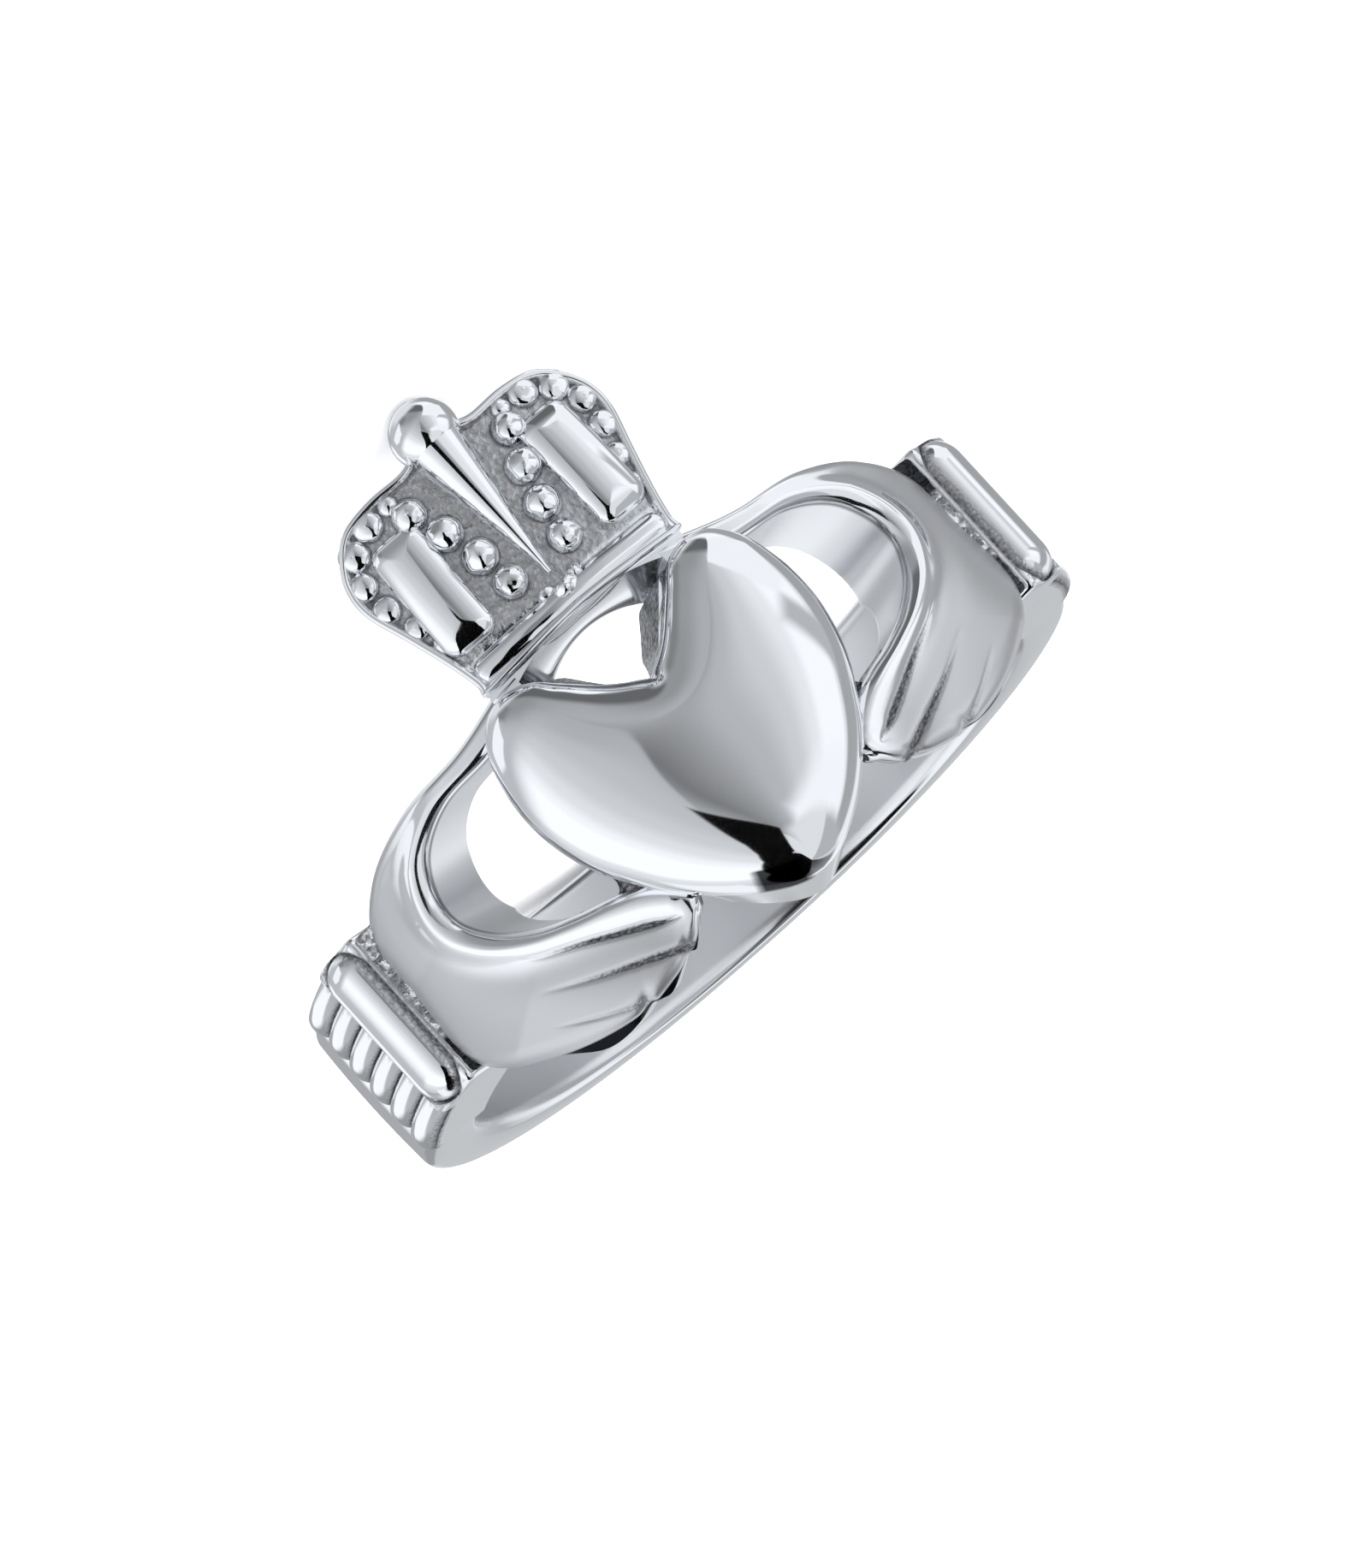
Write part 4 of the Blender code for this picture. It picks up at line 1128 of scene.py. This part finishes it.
TENT_PATCHES = [
    # grey, softness in degrees, corners (azimuth, elevation, softness of the side that starts there)
    (0.39, 8.0, [(-142, -90), (-96, -90), (-96, -12), (-142, -8)]),
    (0.50, 5.0, [(-98, -12), (-85, -10), (-70, -2.5), (-55, -2), (-50, 4), (-98, 9)]),
    (0.98, 2.5, [(-100, -30), (-60, -46), (-30, -29), (-26, -20), (-34, -12.5), (-44, -7), (-58, -2),
                 (-70, -3), (-85, -10)]),
    (0.54, 18.0, [(-60, -90), (132, -90), (132, -12), (112, -12), (100, -6), (60, -6), (10, -10),
                  (-14, -16), (-34, -27.5, 1.5), (-60, -47)]),
    (0.32, 34.0, [(-60, -90), (50, -90), (40, -38), (18, -24), (-10, -20), (-34, -27.5, 1.5), (-60, -47)]),
    (0.14, 14.0, [(-66, -70), (30, -90), (-28, -38), (-36, -29, 1.5), (-60, -47)]),
    (0.24, 14.0, [(18, -90), (60, -90), (54, -52), (38, -42), (18, -50)]),
    (1.05, 5.0, [(132, -37), (154, -37), (154, -13), (132, -13)]),
    (0.34, 5.0, [(157, -27), (178, -27), (178, -5), (157, -5)]),
    (0.42, 5.0, [(159, -42), (184, -42), (184, -24), (159, -24)]),
    (0.42, 5.0, [(-184, -42), (-166, -42), (-166, -22), (-184, -22)]),
    (1.00, 8.0, [(113, 18), (150, 18), (150, 42), (113, 42)]),
    (0.80, 18.0, [(-200, -120), (200, -120), (200, -66), (-200, -66)]),
    (1.00, 3.0, [(50, -58), (106, -42), (104, -30), (84, -24), (60, -28)]),
    (0.48, 10.0, [(-132, 46), (-60, 46), (-60, 95), (-132, 95)]),
    (1.00, 12.0, [(-88, 26), (-40, 28), (-16, 31), (-16, 42), (-88, 44)]),
    (0.80, 8.0, [(-60, 44), (-2.5, 40), (12, 58), (12, 95), (-60, 95)]),
    (0.17, 1.2, [(-3, -5), (0, 0), (12.5, 17.5), (1.5, 39, 16), (-1, 46, 24)]),
    (0.0, 1.2, [(-2.5, 39), (12.5, 17.5), (20, 30), (27, 42), (30, 62), (10, 62), (3.75, 49)]),
    (0.0, 1.2, [(25, 39), (36, 49), (50, 80), (20, 80), (20, 50)]),
    (0.0, 1.2, [(34, 47.5), (50, 54.5), (60, 95), (10, 95), (10, 70)]),
    (0.0, 1.2, [(48, 54), (92, 58.5), (92, 95), (30, 95)]),
    (0.0, 1.2, [(88, 59), (128, 48), (160, 40), (160, 95), (70, 95)]),
]


def tinted(grey):
    """A grey card's colour: a little blue, as in the photograph."""
    return grey * 0.975, grey * 1.0, grey * 1.03, 1


def grey_ramp(tree, angle, table, span):
    """Colour ramp over an angle that runs from -span to span."""
    share = maths(tree, "DIVIDE", maths(tree, "ADD", angle, span), 2 * span)
    ramp = add(tree, "ShaderNodeValToRGB", [("Fac", share)])
    stops = ramp.color_ramp.elements
    ramp.color_ramp.interpolation = "EASE"
    while len(stops) < len(table):
        stops.new(0.5)
    for stop, (degrees, _) in zip(stops, table):
        stop.position = (degrees + span) / (2 * span)
    for stop, (_, grey) in zip(stops, table):
        stop.color = tinted(grey)
    return ramp.outputs[0]


def tent_group():
    """Brightness of the tent in a direction: a ramp over azimuth with patches laid over it."""
    group, given, out = new_group("light_tent", [("Direction", "NodeSocketVector", None)],
                                  [("Colour", "NodeSocketColor")])
    ray = add(group, "ShaderNodeVectorMath", [(0, given.outputs[0])], operation="NORMALIZE").outputs[0]
    parts = add(group, "ShaderNodeSeparateXYZ", [(0, ray)]).outputs
    turned = maths(group, "ARCTAN2", parts[0], maths(group, "MULTIPLY", parts[1], -1.0))
    azimuth = maths(group, "MULTIPLY", turned, 180 / math.pi)
    elevation = maths(group, "MULTIPLY", maths(group, "ARCSINE", parts[2]), 180 / math.pi)
    colour = grey_ramp(group, azimuth, TENT_RAMP, 180.0)
    behind = grey_ramp(group, elevation, TENT_BACK, 90.0)
    away = maths(group, "ABSOLUTE", azimuth)
    at_back = add(group, "ShaderNodeMapRange",
                  [("Value", away), ("From Min", BACK_FROM), ("From Max", BACK_FULL)])
    colour = blend(group, at_back.outputs[0], colour, behind)
    for grey, blur, corners in TENT_PATCHES:
        colour = blend(group, patch_mask(group, azimuth, elevation, corners, blur), colour, tinted(grey))
    group.links.new(colour, out.inputs[0])
    return group


def patch_mask(tree, azimuth, elevation, corners, blur):
    """1 inside a convex polygon, 0 outside: the least of its sides' soft steps."""
    ahead = corners[1:] + corners[:1]
    area = sum(a[0] * b[1] - b[0] * a[1] for a, b in zip(corners, ahead))
    mask = None
    for a, b in zip(corners, ahead):
        soft = a[2] if len(a) > 2 else blur
        length = math.hypot(b[0] - a[0], b[1] - a[1]) * (1 if area > 0 else -1)
        nx, ny = -(b[1] - a[1]) / length, (b[0] - a[0]) / length
        offset = nx * a[0] + ny * a[1]
        along = maths(tree, "ADD", maths(tree, "MULTIPLY", azimuth, nx),
                      maths(tree, "MULTIPLY", elevation, ny))
        step = add(tree, "ShaderNodeMapRange",
                   [("Value", along), ("From Min", offset - soft / 2), ("From Max", offset + soft / 2)],
                   interpolation_type="SMOOTHSTEP").outputs[0]
        mask = step if mask is None else maths(tree, "MINIMUM", mask, step)
    return mask


TENT = tent_group()
print("tent nodes", len(TENT.nodes))

# %% [markdown]
# ## Table
# The table is plain and pale. Polished silver on a white sheet would turn white all over, so
# studios hang grey cards round it. Here the table is left out of the reflections, and the metal
# sees the lower half of the tent in its place.


# %% Table
def table_top():
    """One flat white square, well past the picture's edges."""
    size = 0.6
    corners = [(-size, -size, 0), (size, -size, 0), (size, size, 0), (-size, size, 0)]
    mesh = bpy.data.meshes.new("table_top")
    mesh.from_pydata(corners, [], [(0, 1, 2, 3)])
    material = bpy.data.materials.new("white_table")
    material.use_nodes = True
    shader = material.node_tree.nodes["Principled BSDF"]
    shader.inputs["Base Color"].default_value = (0.90, 0.90, 0.905, 1)
    shader.inputs["Roughness"].default_value = 0.6
    mesh.materials.append(material)
    table = placed("table_top", mesh)
    table.visible_glossy = False
    return table


table_top()


# %% World and lamps
def studio():
    """World light: the tent in the metal's reflections, and a plain pale wall for all other rays."""
    world = bpy.data.worlds.new("studio")
    world.use_nodes = True
    tree = world.node_tree
    wall = tree.nodes["Background"]
    wall.inputs["Color"].default_value = (0.93, 0.93, 0.94, 1)
    wall.inputs["Strength"].default_value = 3.2
    direction = add(tree, "ShaderNodeTexCoord").outputs["Generated"]
    tent = add(tree, "ShaderNodeGroup", [(0, direction)], node_tree=TENT)
    lit = add(tree, "ShaderNodeBackground", [("Color", tent.outputs[0]), ("Strength", 1.0)])
    mirrored_ray = add(tree, "ShaderNodeLightPath").outputs["Is Glossy Ray"]
    mix = add(tree, "ShaderNodeMixShader", [(0, mirrored_ray), (1, wall.outputs[0]), (2, lit.outputs[0])])
    tree.links.new(mix.outputs[0], tree.nodes["World Output"].inputs["Surface"])
    bpy.context.scene.world = world


def lamp(name, place, size, power):
    """Square soft box aimed at the ring; it lights the table but is not mirrored in the metal."""
    data = bpy.data.lights.new(name, "AREA")
    data.size = size
    data.energy = power
    light = placed(name, data)
    light.location = place
    light.rotation_mode = "QUATERNION"
    light.rotation_quaternion = light.location.to_track_quat("Z", "Y")
    light.visible_glossy = False
    return light


studio()
lamp("overhead_box", (0.05, 0.10, 0.60), 0.50, 0.6)
bpy.context.scene.view_settings.view_transform = "Standard"

# %% Sizes
print("faces in all", sum(len(piece.data.polygons) for piece in PIECES))
